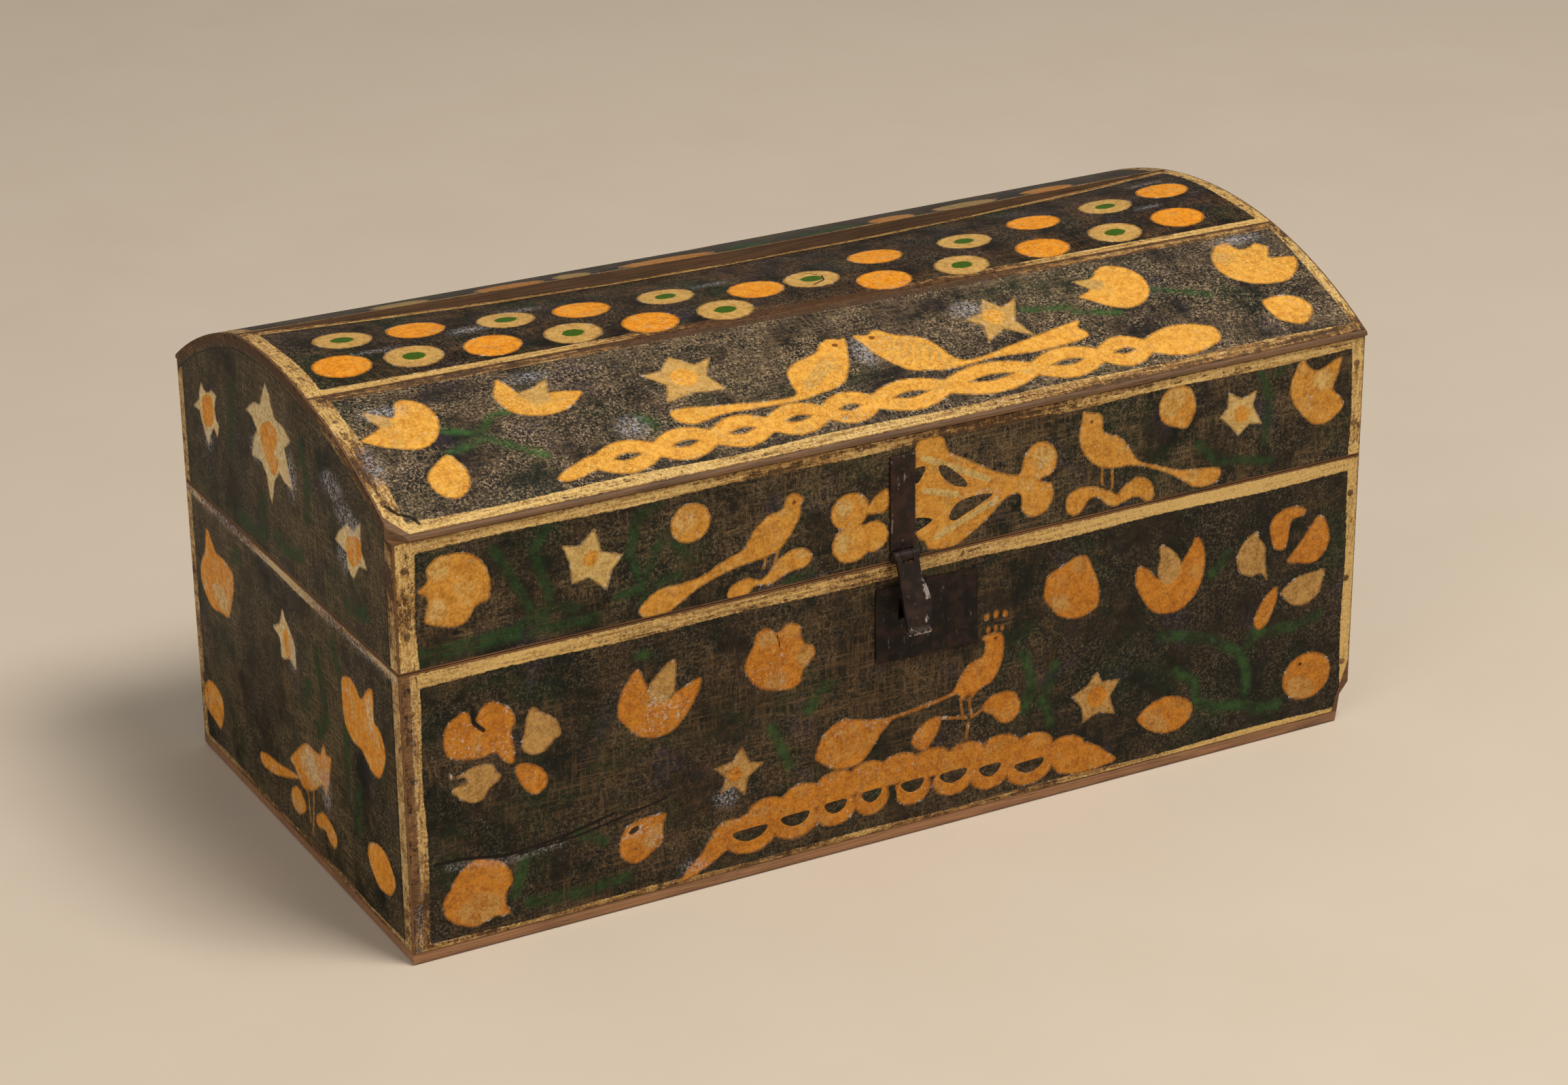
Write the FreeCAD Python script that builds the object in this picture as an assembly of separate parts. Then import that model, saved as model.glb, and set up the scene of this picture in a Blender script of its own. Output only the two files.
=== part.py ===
import FreeCAD, Part
import math
import os

# The casket stands on its underside, front toward -Y, length along X, in millimetres.

# Box body
chest_length = 480.0
chest_depth = 243.0
side_thickness = 9.0
bottom_thickness = 5.0
base_side_height = 129.6
lid_gap = 0.5
rail_height = 58.2

# Barrel top
dome_rise = 34.5
dome_nose_height = 1.5
dome_overhang = 1.2
dome_thickness = 6.5
dome_nose_round = 2.0
seam_gap = 0.3
front_seam_left = 36.0
front_seam_right = 46.0
rear_seam_reach = 43.0
rear_lift_left = 4.5
rear_sag_middle = 5.0
warp_steps = 8

# Worn edges and broken corners
worn_edge = 0.8
bottom_edge_round = 1.8
foot_loss_width = 8.5
foot_loss_depth = 13.0
foot_loss_height = 21.0
dome_loss_width = 9.0
dome_loss_depth = 8.0
loss_tip_share = 0.1
loss_waist_share = 0.75
loss_waist_level_share = 0.66
overrun = 2.0
match_share = 1e-6

# Wrought nails
nail_length = 22.0
dome_nail_length = 16.0
nail_radius = 0.9
nail_head_radius = 1.9
nail_head_height = 0.6
nail_tip_share = 0.3
head_facets = 8
head_crown_share = 0.45
shank_facets = 4
nail_clearance = 0.05
nail_seat_depth = 0.25
nail_pit_depth = 0.8
base_nail_shares = (0.2, 0.53, 0.86)
lid_nail_shares = (0.28, 0.78)
bottom_nail_shares = (-0.8, -0.4, 0, 0.4, 0.8)
bottom_end_nail_shares = (-0.5, 0.5)
dome_nail_shares = (0.22, 0.78)
small_nail_length = 7.5
small_nail_radius = 0.7
small_nail_head_radius = 1.5
small_nail_head_height = 0.5

# Back hinges of bent wire
hinge_span = 300.0
hinge_wire_radius = 0.8
hinge_eye_radius = 2.4
hinge_leg_offset = 0.85
hinge_throat_radius = 1.2
hinge_clinch_radius = 1.5
hinge_clinch_length = 6.0
hinge_clinch_stand = 1.2
hinge_standoff = 4.2
hinge_hole_clearance = 0.1
hinge_slope = math.radians(45)
wire_facets = 8
wire_step_angle = math.radians(30)

# Hasp
hasp_x = -3.5
strap_top_drop = 9.0
strap_width = 12.2
iron_thickness = 1.5
strap_edge_round = 0.4
knuckle_radius = 2.6
knuckle_gap = 0.2
knuckle_standoff = 0.25
knuckle_height = 2.9
middle_knuckle_share = 0.44
pin_radius = 1.1
pin_fit = 0.05
pin_head_radius = 1.7
pin_head_height = 0.5
tongue_width = 10.8
tongue_swell = 2.6
tongue_swell_drop = 21.0
tongue_swell_reach = 10.5
tongue_length = 34.0
lip_radius = 3.2
lip_angle = math.radians(55)
tongue_lean = 18.0
strap_nail_drop = 7.0
strap_nail_rise = 6.0

# Staple of the hasp
staple_drop = 25.0
staple_wire_radius = 0.8
staple_pitch = 6.0
staple_reach = 1.75
staple_button_radius = 1.3
staple_button_height = 0.35

# Lock
plate_width = 51.5
plate_height = 35.6
plate_shift = 12.4
plate_drop = 10.8
plate_thickness = 1.2
plate_corner = 0.8
plate_nail_inset = 6.0
plate_nail_edge = 2.4
plate_nail_foot = 7.2
lock_slot_width = 4.4
lock_slot_height = 9.8
lock_slot_drop = 25.7
pocket_width = 37.0
pocket_height = 20.4
pocket_shift = 10.5
pocket_drop = 28.6
pocket_depth = 7.2
pocket_corner = 1.5
keyhole_shift = 8.5
keyhole_drop = 31.0
keyhole_radius = 2.3
keyhole_slot_width = 2.2
keyhole_slot_length = 6.0
bolt_length = 21.0
bolt_height = 3.6
bolt_thickness = 2.6
bolt_play = 0.15
bolt_tip_distance = 1.3
bolt_tip_round = 1.0
talon_width = 3.0
talon_depth = 1.1
guide_width = 2.6
guide_wall = 1.0
guide_shifts = (-6.0, 4.6, 16.5)
spring_leaf = 0.6
spring_width = 2.2
spring_length = 15.0
spring_rise = 2.6
spring_block = 1.6

# Levels and planes that follow from the sizes
half_length = chest_length / 2
half_depth = chest_depth / 2
inner_half_length = half_length - side_thickness
inner_half_depth = half_depth - side_thickness
base_top = bottom_thickness + base_side_height
lid_bottom = base_top + lid_gap
rail_top = lid_bottom + rail_height
dome_half_chord = half_depth + dome_overhang
dome_foot_z = rail_top + dome_nose_height
dome_radius = (dome_half_chord ** 2 + dome_rise ** 2) / (2 * dome_rise)
dome_centre_z = dome_foot_z + dome_rise - dome_radius
dome_half_angle = math.asin(dome_half_chord / dome_radius)
dome_inner_radius = dome_radius - dome_thickness
rear_seam_angle = rear_seam_reach / dome_radius
seam_half_angle_gap = seam_gap / dome_radius / 2
hinge_y = half_depth + hinge_standoff
hinge_z = (base_top + lid_bottom) / 2
pin_y = -half_depth - knuckle_radius - knuckle_standoff
pin_z = lid_bottom + knuckle_height
staple_z = pin_z - staple_drop

Vector = FreeCAD.Vector
X_AXIS = Vector(1, 0, 0)
Y_AXIS = Vector(0, 1, 0)
Z_AXIS = Vector(0, 0, 1)


def save(shape, name):
    shape.exportStep(os.path.join("parts", name + ".step"))


def block(x_low, x_high, y_low, y_high, z_low, z_high):
    corner = Vector(x_low, y_low, z_low)
    return Part.makeBox(x_high - x_low, y_high - y_low, z_high - z_low, corner)


def line(start, end):
    return Part.makeLine(start, end)


def arc(start, middle, end):
    return Part.Arc(start, middle, end).toShape()


def solid_from(edges, direction):
    return Part.Face(Part.Wire(edges)).extrude(direction)


def ease(shape, radius, is_worn):
    """Round over the edges whose centre the given test picks."""
    edges = [edge for edge in shape.Edges if is_worn(edge.CenterOfMass)]
    return shape.makeFillet(radius, edges)


def near(value, target):
    return abs(value - target) < chest_length * match_share


def cut_all(shape, tools):
    """Take every tool away from the shape."""
    return shape.cut(Part.makeCompound(tools)) if tools else shape


def one_solid(shape):
    return shape.Solids[0] if len(shape.Solids) == 1 else shape


# Nails

def set_at(body, point, direction):
    """Move a body made along Z to the point, nose along the direction."""
    body.Placement = FreeCAD.Placement(point, FreeCAD.Rotation(Z_AXIS, direction))
    return body


def ring_corners(sides, radius, level):
    """The corners of a regular polygon round Z at the level."""
    corners = []
    for corner in range(sides):
        angle = math.tau * corner / sides
        corners.append(Vector(radius * math.cos(angle), radius * math.sin(angle), level))
    return corners


def closed(corners):
    return Part.makePolygon(corners + corners[:1])


def ring(sides, radius, level):
    return closed(ring_corners(sides, radius, level))


def rose_head(radius, height):
    """A hammered head with sloping facets, its flat side on the level of the face."""
    return Part.makeLoft([
        ring(head_facets, radius, 0),
        ring(head_facets, radius * head_crown_share, -height),
    ], True, True)


def nail(point, direction, length, radius, head_radius, head_height):
    """One forged nail: a faceted rose head on the face and a square tapering shank."""
    head = rose_head(head_radius, head_height)
    shank = Part.makeLoft([
        ring(shank_facets, radius, 0),
        ring(shank_facets, radius * nail_tip_share, length),
    ], True, True)
    return set_at(head.fuse(shank), point, direction)


def nail_hole(point, direction, length, radius, seat_radius=0):
    """The square tapering hole of one nail, with a seat cut for its head if asked."""
    wide = radius + nail_clearance
    narrow = radius * nail_tip_share + nail_clearance
    hole = Part.makeLoft([
        ring(shank_facets, wide, -overrun),
        ring(shank_facets, wide, 0),
        ring(shank_facets, narrow, length + nail_clearance),
    ], True, True)
    if seat_radius:
        hole = hole.fuse(Part.makeLoft([
            ring(head_facets, seat_radius + nail_clearance, -overrun),
            ring(head_facets, seat_radius + nail_clearance, 0),
        ], True, True))
    return set_at(hole, point, direction)


def nails_at(spots, length):
    """A group of side nails, one at each point and direction."""
    group = []
    for point, direction in spots:
        group.append(nail(point, direction, length, nail_radius,
                          nail_head_radius, nail_head_height))
    return Part.makeCompound(group)


def holes_at(spots, length, seat_radius=0):
    return [nail_hole(point, direction, length, nail_radius, seat_radius)
            for point, direction in spots]


def corner_spots(level_shares, z_low, height):
    """Points on both faces over both ends, at the given shares of the height."""
    spots = []
    across = half_length - side_thickness / 2
    for x in (-across, across):
        for share in level_shares:
            z = z_low + height * share
            spots.append((Vector(x, -half_depth, z), Y_AXIS))
            spots.append((Vector(x, half_depth, z), -Y_AXIS))
    return spots


def bottom_spots():
    """Points under the bottom board, below the edges of the four sides."""
    spots = []
    y_edge = half_depth - side_thickness / 2
    x_edge = half_length - side_thickness / 2
    for share in bottom_nail_shares:
        for y in (-y_edge, y_edge):
            spots.append((Vector(half_length * share, y, nail_pit_depth), Z_AXIS))
    for share in bottom_end_nail_shares:
        for x in (-x_edge, x_edge):
            spots.append((Vector(x, half_depth * share, nail_pit_depth), Z_AXIS))
    return spots


def rear_lift(x):
    """How far the top plank's rear edge stands off the true curve at x."""
    share = x / half_length
    bow = rear_sag_middle + rear_lift_left / 2
    return bow * share ** 2 - rear_lift_left / 2 * share - rear_sag_middle


def front_seam(x):
    """The angle of the seam between the front and top planks, which taper."""
    share = (x + half_length) / chest_length
    reach = front_seam_left + (front_seam_right - front_seam_left) * share
    return -reach / dome_radius


def dome_point(x, angle, radius):
    """A point on the barrel, the angle measured from the crown toward the back."""
    y = radius * math.sin(angle)
    z = dome_centre_z + radius * math.cos(angle)
    return Vector(x, y, z)


def plank_spots(plank, edge_angles):
    """Two nail points over each end, found on the plank's own outer face."""
    spots = []
    across = half_length - side_thickness / 2
    for x in (-across, across):
        low, high = edge_angles(x)
        for share in dome_nail_shares:
            angle = low + (high - low) * share
            axis_point = dome_point(x, angle, 0)
            ray = line(axis_point, dome_point(x, angle, dome_radius + dome_rise))
            inside = plank.common(ray)
            face_radius = max((v.Point - axis_point).Length for v in inside.Vertexes)
            inward = (axis_point - dome_point(x, angle, dome_radius)).normalize()
            seat = dome_point(x, angle, face_radius - nail_seat_depth)
            spots.append((seat, inward))
    return spots


def dome_spots():
    """The nail points of the front, top and back planks."""
    foot = dome_half_angle
    spots = plank_spots(front_plank(), lambda x: (-foot, front_seam(x)))
    spots += plank_spots(top_plank(), lambda x: (front_seam(x), rear_seam_angle))
    spots += plank_spots(back_plank(), lambda x: (rear_seam_angle, foot))
    return spots


def dome_nails():
    return nails_at(dome_spots(), dome_nail_length)


def drilled_plank(plank):
    """A plank with its nail holes and the dents the nail heads press into it."""
    return cut_all(plank, holes_at(dome_spots(), dome_nail_length, nail_head_radius))


base_spots = corner_spots(base_nail_shares, bottom_thickness, base_side_height)
lid_spots = corner_spots(lid_nail_shares, lid_bottom, rail_height)


# Broken corners

def triangle(x_corner, width, y_corner, depth, level):
    points = [
        Vector(x_corner, y_corner, level),
        Vector(x_corner + width, y_corner, level),
        Vector(x_corner, y_corner + depth, level),
    ]
    return closed(points)


def foot_loss():
    """The wood missing from the front right foot, narrowing upward."""
    levels = (
        (-overrun, 1),
        (foot_loss_height * loss_waist_level_share, loss_waist_share),
        (foot_loss_height, loss_tip_share),
    )
    sections = []
    for level, share in levels:
        sections.append(triangle(
            half_length + overrun, -(foot_loss_width * share + overrun),
            -half_depth - overrun, foot_loss_depth * share + overrun, level))
    return Part.makeLoft(sections, True, True)


def dome_loss():
    """The chip missing from the front left corner of the barrel top."""
    outline = triangle(
        -half_length - overrun, dome_loss_width + overrun,
        -dome_half_chord - overrun, dome_loss_depth + overrun, lid_bottom)
    return Part.Face(outline).extrude(Z_AXIS * (dome_rise + rail_height))


# Base

def bottom_board():
    """The thin bottom, nailed on from below, its edges worn round."""
    board = block(-half_length, half_length, -half_depth, half_depth,
                  0, bottom_thickness)
    board = ease(board, bottom_edge_round, lambda c: near(c.z, 0))
    holes = holes_at(bottom_spots(), nail_length, nail_head_radius)
    return one_solid(cut_all(board, holes + [foot_loss()]))


def long_board(side, z_low, height):
    """A front or back board of full length, its outer arrises rubbed."""
    outer = side * half_depth
    inner = side * inner_half_depth
    board = block(-half_length, half_length, min(outer, inner), max(outer, inner),
                  z_low, z_low + height)
    middle = z_low + height / 2
    return ease(board, worn_edge,
                lambda c: near(c.y, outer) and near(c.z, middle))


def cross_board(side, z_low, height):
    """An end board that fits between the front and back boards."""
    outer = side * half_length
    inner = side * inner_half_length
    return block(min(outer, inner), max(outer, inner),
                 -inner_half_depth, inner_half_depth, z_low, z_low + height)


def lock_pocket():
    """The space cut into the front board for the lock works."""
    middle_x = hasp_x + pocket_shift
    middle_z = pin_z - pocket_drop
    pocket = block(middle_x - pocket_width / 2, middle_x + pocket_width / 2,
                   -half_depth - overrun, -half_depth + pocket_depth,
                   middle_z - pocket_height / 2, middle_z + pocket_height / 2)
    return ease(pocket, pocket_corner, lambda c: near(
        c.y, -half_depth + (pocket_depth - overrun) / 2))


def base_front_board():
    board = long_board(-1, bottom_thickness, base_side_height)
    tools = holes_at(base_spots, nail_length)
    tools += holes_at(bottom_spots(), nail_length)
    tools += plate_nail_holes()
    tools += [lock_pocket(), foot_loss()]
    return one_solid(cut_all(board, tools))


def base_back_board():
    board = long_board(1, bottom_thickness, base_side_height)
    tools = holes_at(base_spots, nail_length) + holes_at(bottom_spots(), nail_length)
    tools += hinge_holes(-1)
    return one_solid(cut_all(board, tools))


def base_end_board(side):
    board = cross_board(side, bottom_thickness, base_side_height)
    tools = holes_at(base_spots, nail_length) + holes_at(bottom_spots(), nail_length)
    tools.append(foot_loss())
    return one_solid(cut_all(board, tools))


# Lid

def lid_rail(side):
    board = long_board(side, lid_bottom, rail_height)
    tools = holes_at(lid_spots, nail_length)
    if side < 0:
        tools += strap_nail_holes()
    else:
        tools += hinge_holes(1)
    return one_solid(cut_all(board, tools))


def lid_end_board(side):
    """An arched end board, its curve meeting the planks over it."""
    x = side * half_length
    lift = rear_lift(x)
    foot_angle = math.asin(inner_half_depth / dome_inner_radius)
    radius = dome_inner_radius
    front_foot = dome_point(x, -foot_angle, radius)
    seam = front_seam(x)
    front_edge = dome_point(x, seam, radius)
    rear_edge = dome_point(x, rear_seam_angle, radius + lift)
    rear_foot = dome_point(x, foot_angle, radius)
    low_front = Vector(x, -inner_half_depth, lid_bottom)
    low_rear = Vector(x, inner_half_depth, lid_bottom)
    crown = (seam + rear_seam_angle) / 2
    edges = [
        line(low_front, front_foot),
        arc(front_foot, dome_point(x, (seam - foot_angle) / 2, radius), front_edge),
        arc(front_edge, dome_point(x, crown, radius + lift / 2), rear_edge),
        arc(rear_edge, dome_point(x, (rear_seam_angle + foot_angle) / 2,
                                  radius + lift / 2), rear_foot),
        line(rear_foot, low_rear),
        line(low_rear, low_front),
    ]
    board = solid_from(edges, Vector(-side * side_thickness, 0, 0))
    board = cut_all(board, [front_plank(), top_plank(), back_plank()])
    tools = holes_at(lid_spots, nail_length) + holes_at(dome_spots(), dome_nail_length)
    return one_solid(cut_all(board, tools))


def side_plank_section(x, side, seam, seam_lift):
    """The cut-through outline of a front or back plank, with its low nose."""
    seam = side * (abs(seam) + seam_half_angle_gap)
    half = side * dome_half_angle
    middle = (seam + half) / 2
    inner_foot_y = math.sqrt(dome_inner_radius ** 2 - (rail_top - dome_centre_z) ** 2)
    inner_foot = side * math.asin(inner_foot_y / dome_inner_radius)
    inner_middle = (seam + inner_foot) / 2
    outer_seam = dome_point(x, seam, dome_radius + seam_lift)
    outer_foot = dome_point(x, half, dome_radius)
    inner_seam = dome_point(x, seam, dome_inner_radius + seam_lift)
    inner_end = dome_point(x, inner_foot, dome_inner_radius)
    nose = Vector(x, outer_foot.y, rail_top)
    return Part.Wire([
        arc(outer_seam, dome_point(x, middle, dome_radius + seam_lift / 2), outer_foot),
        line(outer_foot, nose),
        line(nose, inner_end),
        arc(inner_end, dome_point(x, inner_middle, dome_inner_radius + seam_lift / 2),
            inner_seam),
        line(inner_seam, outer_seam),
    ])


def front_plank():
    """The front plank of the barrel, planed round and tapering, with a soft nose."""
    sections = [side_plank_section(x, -1, front_seam(x), 0)
                for x in (-half_length, half_length)]
    plank = Part.makeLoft(sections, True, True)
    return ease(plank, dome_nose_round, lambda c: near(c.z, dome_foot_z)
                and near(c.y, -dome_half_chord))


def top_plank():
    """The crown plank, warped: its rear edge sags between raised ends."""
    rear = rear_seam_angle - seam_half_angle_gap
    outer = dome_radius
    inner = dome_inner_radius
    sections = []
    for step in range(warp_steps + 1):
        x = half_length * (2 * step / warp_steps - 1)
        lift = rear_lift(x)
        front = front_seam(x) + seam_half_angle_gap
        crown = (front + rear) / 2
        sections.append(Part.Wire([
            arc(dome_point(x, front, outer), dome_point(x, crown, outer + lift / 2),
                dome_point(x, rear, outer + lift)),
            line(dome_point(x, rear, outer + lift), dome_point(x, rear, inner + lift)),
            arc(dome_point(x, rear, inner + lift), dome_point(x, crown, inner + lift / 2),
                dome_point(x, front, inner)),
            line(dome_point(x, front, inner), dome_point(x, front, outer)),
        ]))
    return Part.makeLoft(sections, True, True)


def back_plank():
    """The back plank, its seam edge raised toward the left end."""
    sections = []
    for x in (-half_length, 0, half_length):
        lift = rear_lift(x) if x < 0 else 0
        sections.append(side_plank_section(x, 1, rear_seam_angle, lift))
    return Part.makeLoft(sections, True, True)


def dome_front_board():
    """The front plank with its broken corner."""
    return one_solid(cut_all(drilled_plank(front_plank()), [dome_loss()]))


def dome_top_board():
    return one_solid(drilled_plank(top_plank()))


def dome_back_board():
    return one_solid(drilled_plank(back_plank()))


# Wire hinges

def wire_stations(edges, radius):
    """The corners of a wire's section, carried along joined lines and arcs."""
    stations = []
    along = Z_AXIS
    turn = FreeCAD.Rotation()
    for edge in edges:
        first = edge.FirstParameter
        span = edge.LastParameter - first
        steps = 1
        if isinstance(edge.Curve, Part.Circle):
            steps = max(1, round(span / wire_step_angle))
        for step in range(1 if stations else 0, steps + 1):
            here = first + span * step / steps
            ahead = edge.tangentAt(here)
            if not ahead.isEqual(along, match_share):
                turn = FreeCAD.Rotation(along, ahead).multiply(turn)
                along = ahead
            place = FreeCAD.Placement(edge.valueAt(here), turn)
            section = ring_corners(wire_facets, radius, 0)
            stations.append([place.multVec(corner) for corner in section])
    return stations


def bent_wire(edges, radius):
    """A drawn wire with flat facets, bent along joined lines and arcs."""
    stations = wire_stations(edges, radius)
    faces = [Part.Face(closed(stations[0])), Part.Face(closed(stations[-1]))]
    for behind, ahead in zip(stations, stations[1:]):
        for corner in range(wire_facets):
            after = (corner + 1) % wire_facets
            faces.append(Part.Face(closed(
                [behind[corner], behind[after], ahead[after], ahead[corner]])))
    skin = Part.makeShell(faces)
    skin.sewShape()
    return Part.makeSolid(skin)


def slope_direction(side):
    """The way a hinge's legs run: forward, up for the lid and down for the base."""
    return Vector(0, -math.cos(hinge_slope), side * math.sin(hinge_slope))


def split_pin(eye_centre, run, spread, clinch_start):
    """A wire bent to an eye, its two legs clinched outward beyond the board."""
    throat = hinge_leg_offset + hinge_throat_radius
    reach = hinge_eye_radius + hinge_throat_radius
    back = math.sqrt(reach ** 2 - throat ** 2)

    def at(along, across):
        return eye_centre + run * along + spread * across

    def leg(side):
        touch = hinge_eye_radius / reach
        on_eye = at(back * touch, side * throat * touch)
        angle = math.atan2(back, throat) / 2
        inner = at(back - hinge_throat_radius * math.sin(angle),
                   side * (throat - hinge_throat_radius * math.cos(angle)))
        straight = at(back, side * hinge_leg_offset)
        bend = at(clinch_start, side * hinge_leg_offset)
        corner = hinge_clinch_radius * math.sin(math.pi / 4)
        aside = X_AXIS * side
        bend_middle = bend + run * corner + aside * (hinge_clinch_radius - corner)
        bend_end = bend + run * hinge_clinch_radius + aside * hinge_clinch_radius
        tip = bend_end + aside * hinge_clinch_length
        return on_eye, inner, straight, bend, bend_middle, bend_end, tip

    eye, inner, straight, bend, bend_middle, bend_end, tip = leg(-1)
    path = [
        line(tip, bend_end),
        arc(bend_end, bend_middle, bend),
        line(bend, straight),
        arc(straight, inner, eye),
    ]
    far_eye, inner, straight, bend, bend_middle, bend_end, tip = leg(1)
    path += [
        arc(eye, at(-hinge_eye_radius, 0), far_eye),
        arc(far_eye, inner, straight),
        line(straight, bend),
        arc(bend, bend_middle, bend_end),
        line(bend_end, tip),
    ]
    return bent_wire(path, hinge_wire_radius)


def hinge_leg_run():
    """The length of a leg from the joint line to the inner face of the board."""
    return (hinge_standoff + side_thickness) / math.cos(hinge_slope)


def base_hinge_pins():
    run = slope_direction(-1)
    pins = []
    for x in (-hinge_span / 2, hinge_span / 2):
        eye = Vector(x, hinge_y, hinge_z) + run * hinge_eye_radius
        clinch = hinge_leg_run() - hinge_eye_radius + hinge_clinch_stand
        pins.append(split_pin(eye, run, X_AXIS, clinch))
    return Part.makeCompound(pins)


def lid_hinge_pins():
    run = slope_direction(1)
    spread = run.cross(X_AXIS)
    pins = []
    for x in (-hinge_span / 2, hinge_span / 2):
        eye = Vector(x, hinge_y, hinge_z)
        clinch = hinge_leg_run() + hinge_clinch_stand
        pins.append(split_pin(eye, run, spread, clinch))
    return Part.makeCompound(pins)


def hinge_holes(side):
    """The slanting gimlet holes the hinge legs pass through."""
    run = slope_direction(side)
    radius = hinge_leg_offset + hinge_wire_radius + hinge_hole_clearance
    start = hinge_standoff / math.cos(hinge_slope) - overrun
    length = hinge_leg_run() - start + overrun
    return [Part.makeCylinder(radius, length, Vector(x, hinge_y, hinge_z) + run * start, run)
            for x in (-hinge_span / 2, hinge_span / 2)]


# Hasp

def hasp_turn(shape):
    """Swing a piece from the hanging place to its leaning place at rest."""
    shape.rotate(Vector(hasp_x, pin_y, pin_z), X_AXIS, -tongue_lean)
    return shape


def knuckle(x_low, x_high):
    """A rolled iron eye round the hasp pin."""
    start = Vector(x_low, pin_y, pin_z)
    barrel = Part.makeCylinder(knuckle_radius, x_high - x_low, start, X_AXIS)
    bore = Part.makeCylinder(pin_radius + pin_fit, x_high - x_low + 2 * overrun,
                             start - X_AXIS * overrun, X_AXIS)
    return barrel, bore


def strap_nail_spots():
    top = rail_top - strap_top_drop - strap_nail_drop
    low = pin_z + strap_nail_rise
    face = -half_depth - iron_thickness
    return [(Vector(hasp_x, face, z), Y_AXIS) for z in (low, top)]


def small_nail(point, direction):
    return nail(point, direction, small_nail_length, small_nail_radius,
                small_nail_head_radius, small_nail_head_height)


def small_nail_hole(point, direction):
    return nail_hole(point, direction, small_nail_length, small_nail_radius)


def strap_nail_holes():
    return [small_nail_hole(point, direction) for point, direction in strap_nail_spots()]


def hasp_strap():
    """The flat strap on the lid, its foot rolled into the middle knuckle."""
    half = strap_width / 2
    middle = strap_width * middle_knuckle_share / 2
    face = -half_depth - iron_thickness
    top = rail_top - strap_top_drop
    shoulder = pin_z + knuckle_radius + knuckle_gap
    plate = block(hasp_x - half, hasp_x + half, face, -half_depth, shoulder, top)
    neck = block(hasp_x - middle, hasp_x + middle, face, -half_depth, pin_z, shoulder)
    barrel, bore = knuckle(hasp_x - middle, hasp_x + middle)
    strap = plate.fuse([neck, barrel]).removeSplitter()
    strap = ease(strap, strap_edge_round, lambda c: near(c.y, face)
                 and (near(c.z, top) or near(abs(c.x - hasp_x), half)))
    return one_solid(cut_all(strap, [bore] + strap_nail_holes()))


def hasp_pin():
    """The pin through the hasp knuckles, its ends beaten out."""
    half = strap_width / 2
    head_start = half + knuckle_gap / 2
    profile = [Vector(0, 0, -head_start - pin_head_height)]
    profile.append(Vector(pin_radius, 0, -head_start - pin_head_height))
    profile.append(Vector(pin_head_radius, 0, -head_start - pin_head_height / 2))
    profile.append(Vector(pin_head_radius, 0, -head_start))
    profile.append(Vector(pin_radius, 0, -head_start))
    mirrored = [Vector(p.x, 0, -p.z) for p in profile[::-1]]
    pin = Part.Face(closed(profile + mirrored)).revolve(Vector(0, 0, 0), Z_AXIS, 360)
    return set_at(pin, Vector(hasp_x, pin_y, pin_z), X_AXIS)


def tongue_side_outline():
    """The tongue seen from the side: straight, then curled out at the lip."""
    back = pin_y - knuckle_radius + iron_thickness
    front = pin_y - knuckle_radius
    low = pin_z - tongue_length + lip_radius
    centre = Vector(0, front - lip_radius, low)

    def around(radius, angle):
        return centre + Vector(0, radius * math.cos(angle), -radius * math.sin(angle))

    inner = lip_radius
    outer = lip_radius + iron_thickness
    return [
        line(Vector(0, front, pin_z), Vector(0, back, pin_z)),
        line(Vector(0, back, pin_z), around(outer, 0)),
        arc(around(outer, 0), around(outer, lip_angle / 2), around(outer, lip_angle)),
        line(around(outer, lip_angle), around(inner, lip_angle)),
        arc(around(inner, lip_angle), around(inner, lip_angle / 2), around(inner, 0)),
        line(around(inner, 0), Vector(0, front, pin_z)),
    ]


def tongue_front_outline():
    """The tongue seen from the front, its right edge swelling at mid length."""
    half = tongue_width / 2
    left = hasp_x - half
    right = hasp_x + half
    y = pin_y - tongue_length
    swell_z = pin_z - tongue_swell_drop
    swell_start = swell_z + tongue_swell_reach
    swell_end = swell_z - tongue_swell_reach
    low = pin_z - tongue_length - iron_thickness
    return [
        line(Vector(left, y, pin_z), Vector(right, y, pin_z)),
        line(Vector(right, y, pin_z), Vector(right, y, swell_start)),
        arc(Vector(right, y, swell_start), Vector(right + tongue_swell, y, swell_z),
            Vector(right, y, swell_end)),
        line(Vector(right, y, swell_end), Vector(right, y, low)),
        line(Vector(right, y, low), Vector(left, y, low)),
        line(Vector(left, y, low), Vector(left, y, pin_z)),
    ]


def hasp_tongue():
    """The hanging half of the hasp: two outer knuckles and a tongue with a lip."""
    half = strap_width / 2
    middle = strap_width * middle_knuckle_share / 2 + knuckle_gap
    reach = tongue_width / 2 + tongue_swell + overrun
    side = solid_from(tongue_side_outline(), X_AXIS * 2 * reach)
    side.translate(X_AXIS * (hasp_x - reach))
    front = solid_from(tongue_front_outline(), Y_AXIS * 2 * tongue_length)
    tongue = side.common(front)
    clear = knuckle_radius + overrun
    window = block(hasp_x - middle, hasp_x + middle, pin_y - clear, pin_y + clear,
                   pin_z - knuckle_radius - knuckle_gap, pin_z + clear)
    tongue = tongue.cut(window)
    bores = []
    for low, high in ((-half, -middle), (middle, half)):
        barrel, bore = knuckle(hasp_x + low, hasp_x + high)
        tongue = tongue.fuse(barrel)
        bores.append(bore)
    tongue = tongue.removeSplitter()
    for z in staple_levels():
        start = Vector(hasp_x, pin_y - clear, z)
        bores.append(Part.makeCylinder(
            staple_wire_radius + nail_clearance, 2 * clear, start, Y_AXIS))
    return hasp_turn(one_solid(cut_all(tongue, bores)))


def staple_levels():
    return (staple_z - staple_pitch / 2, staple_z + staple_pitch / 2)


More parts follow.
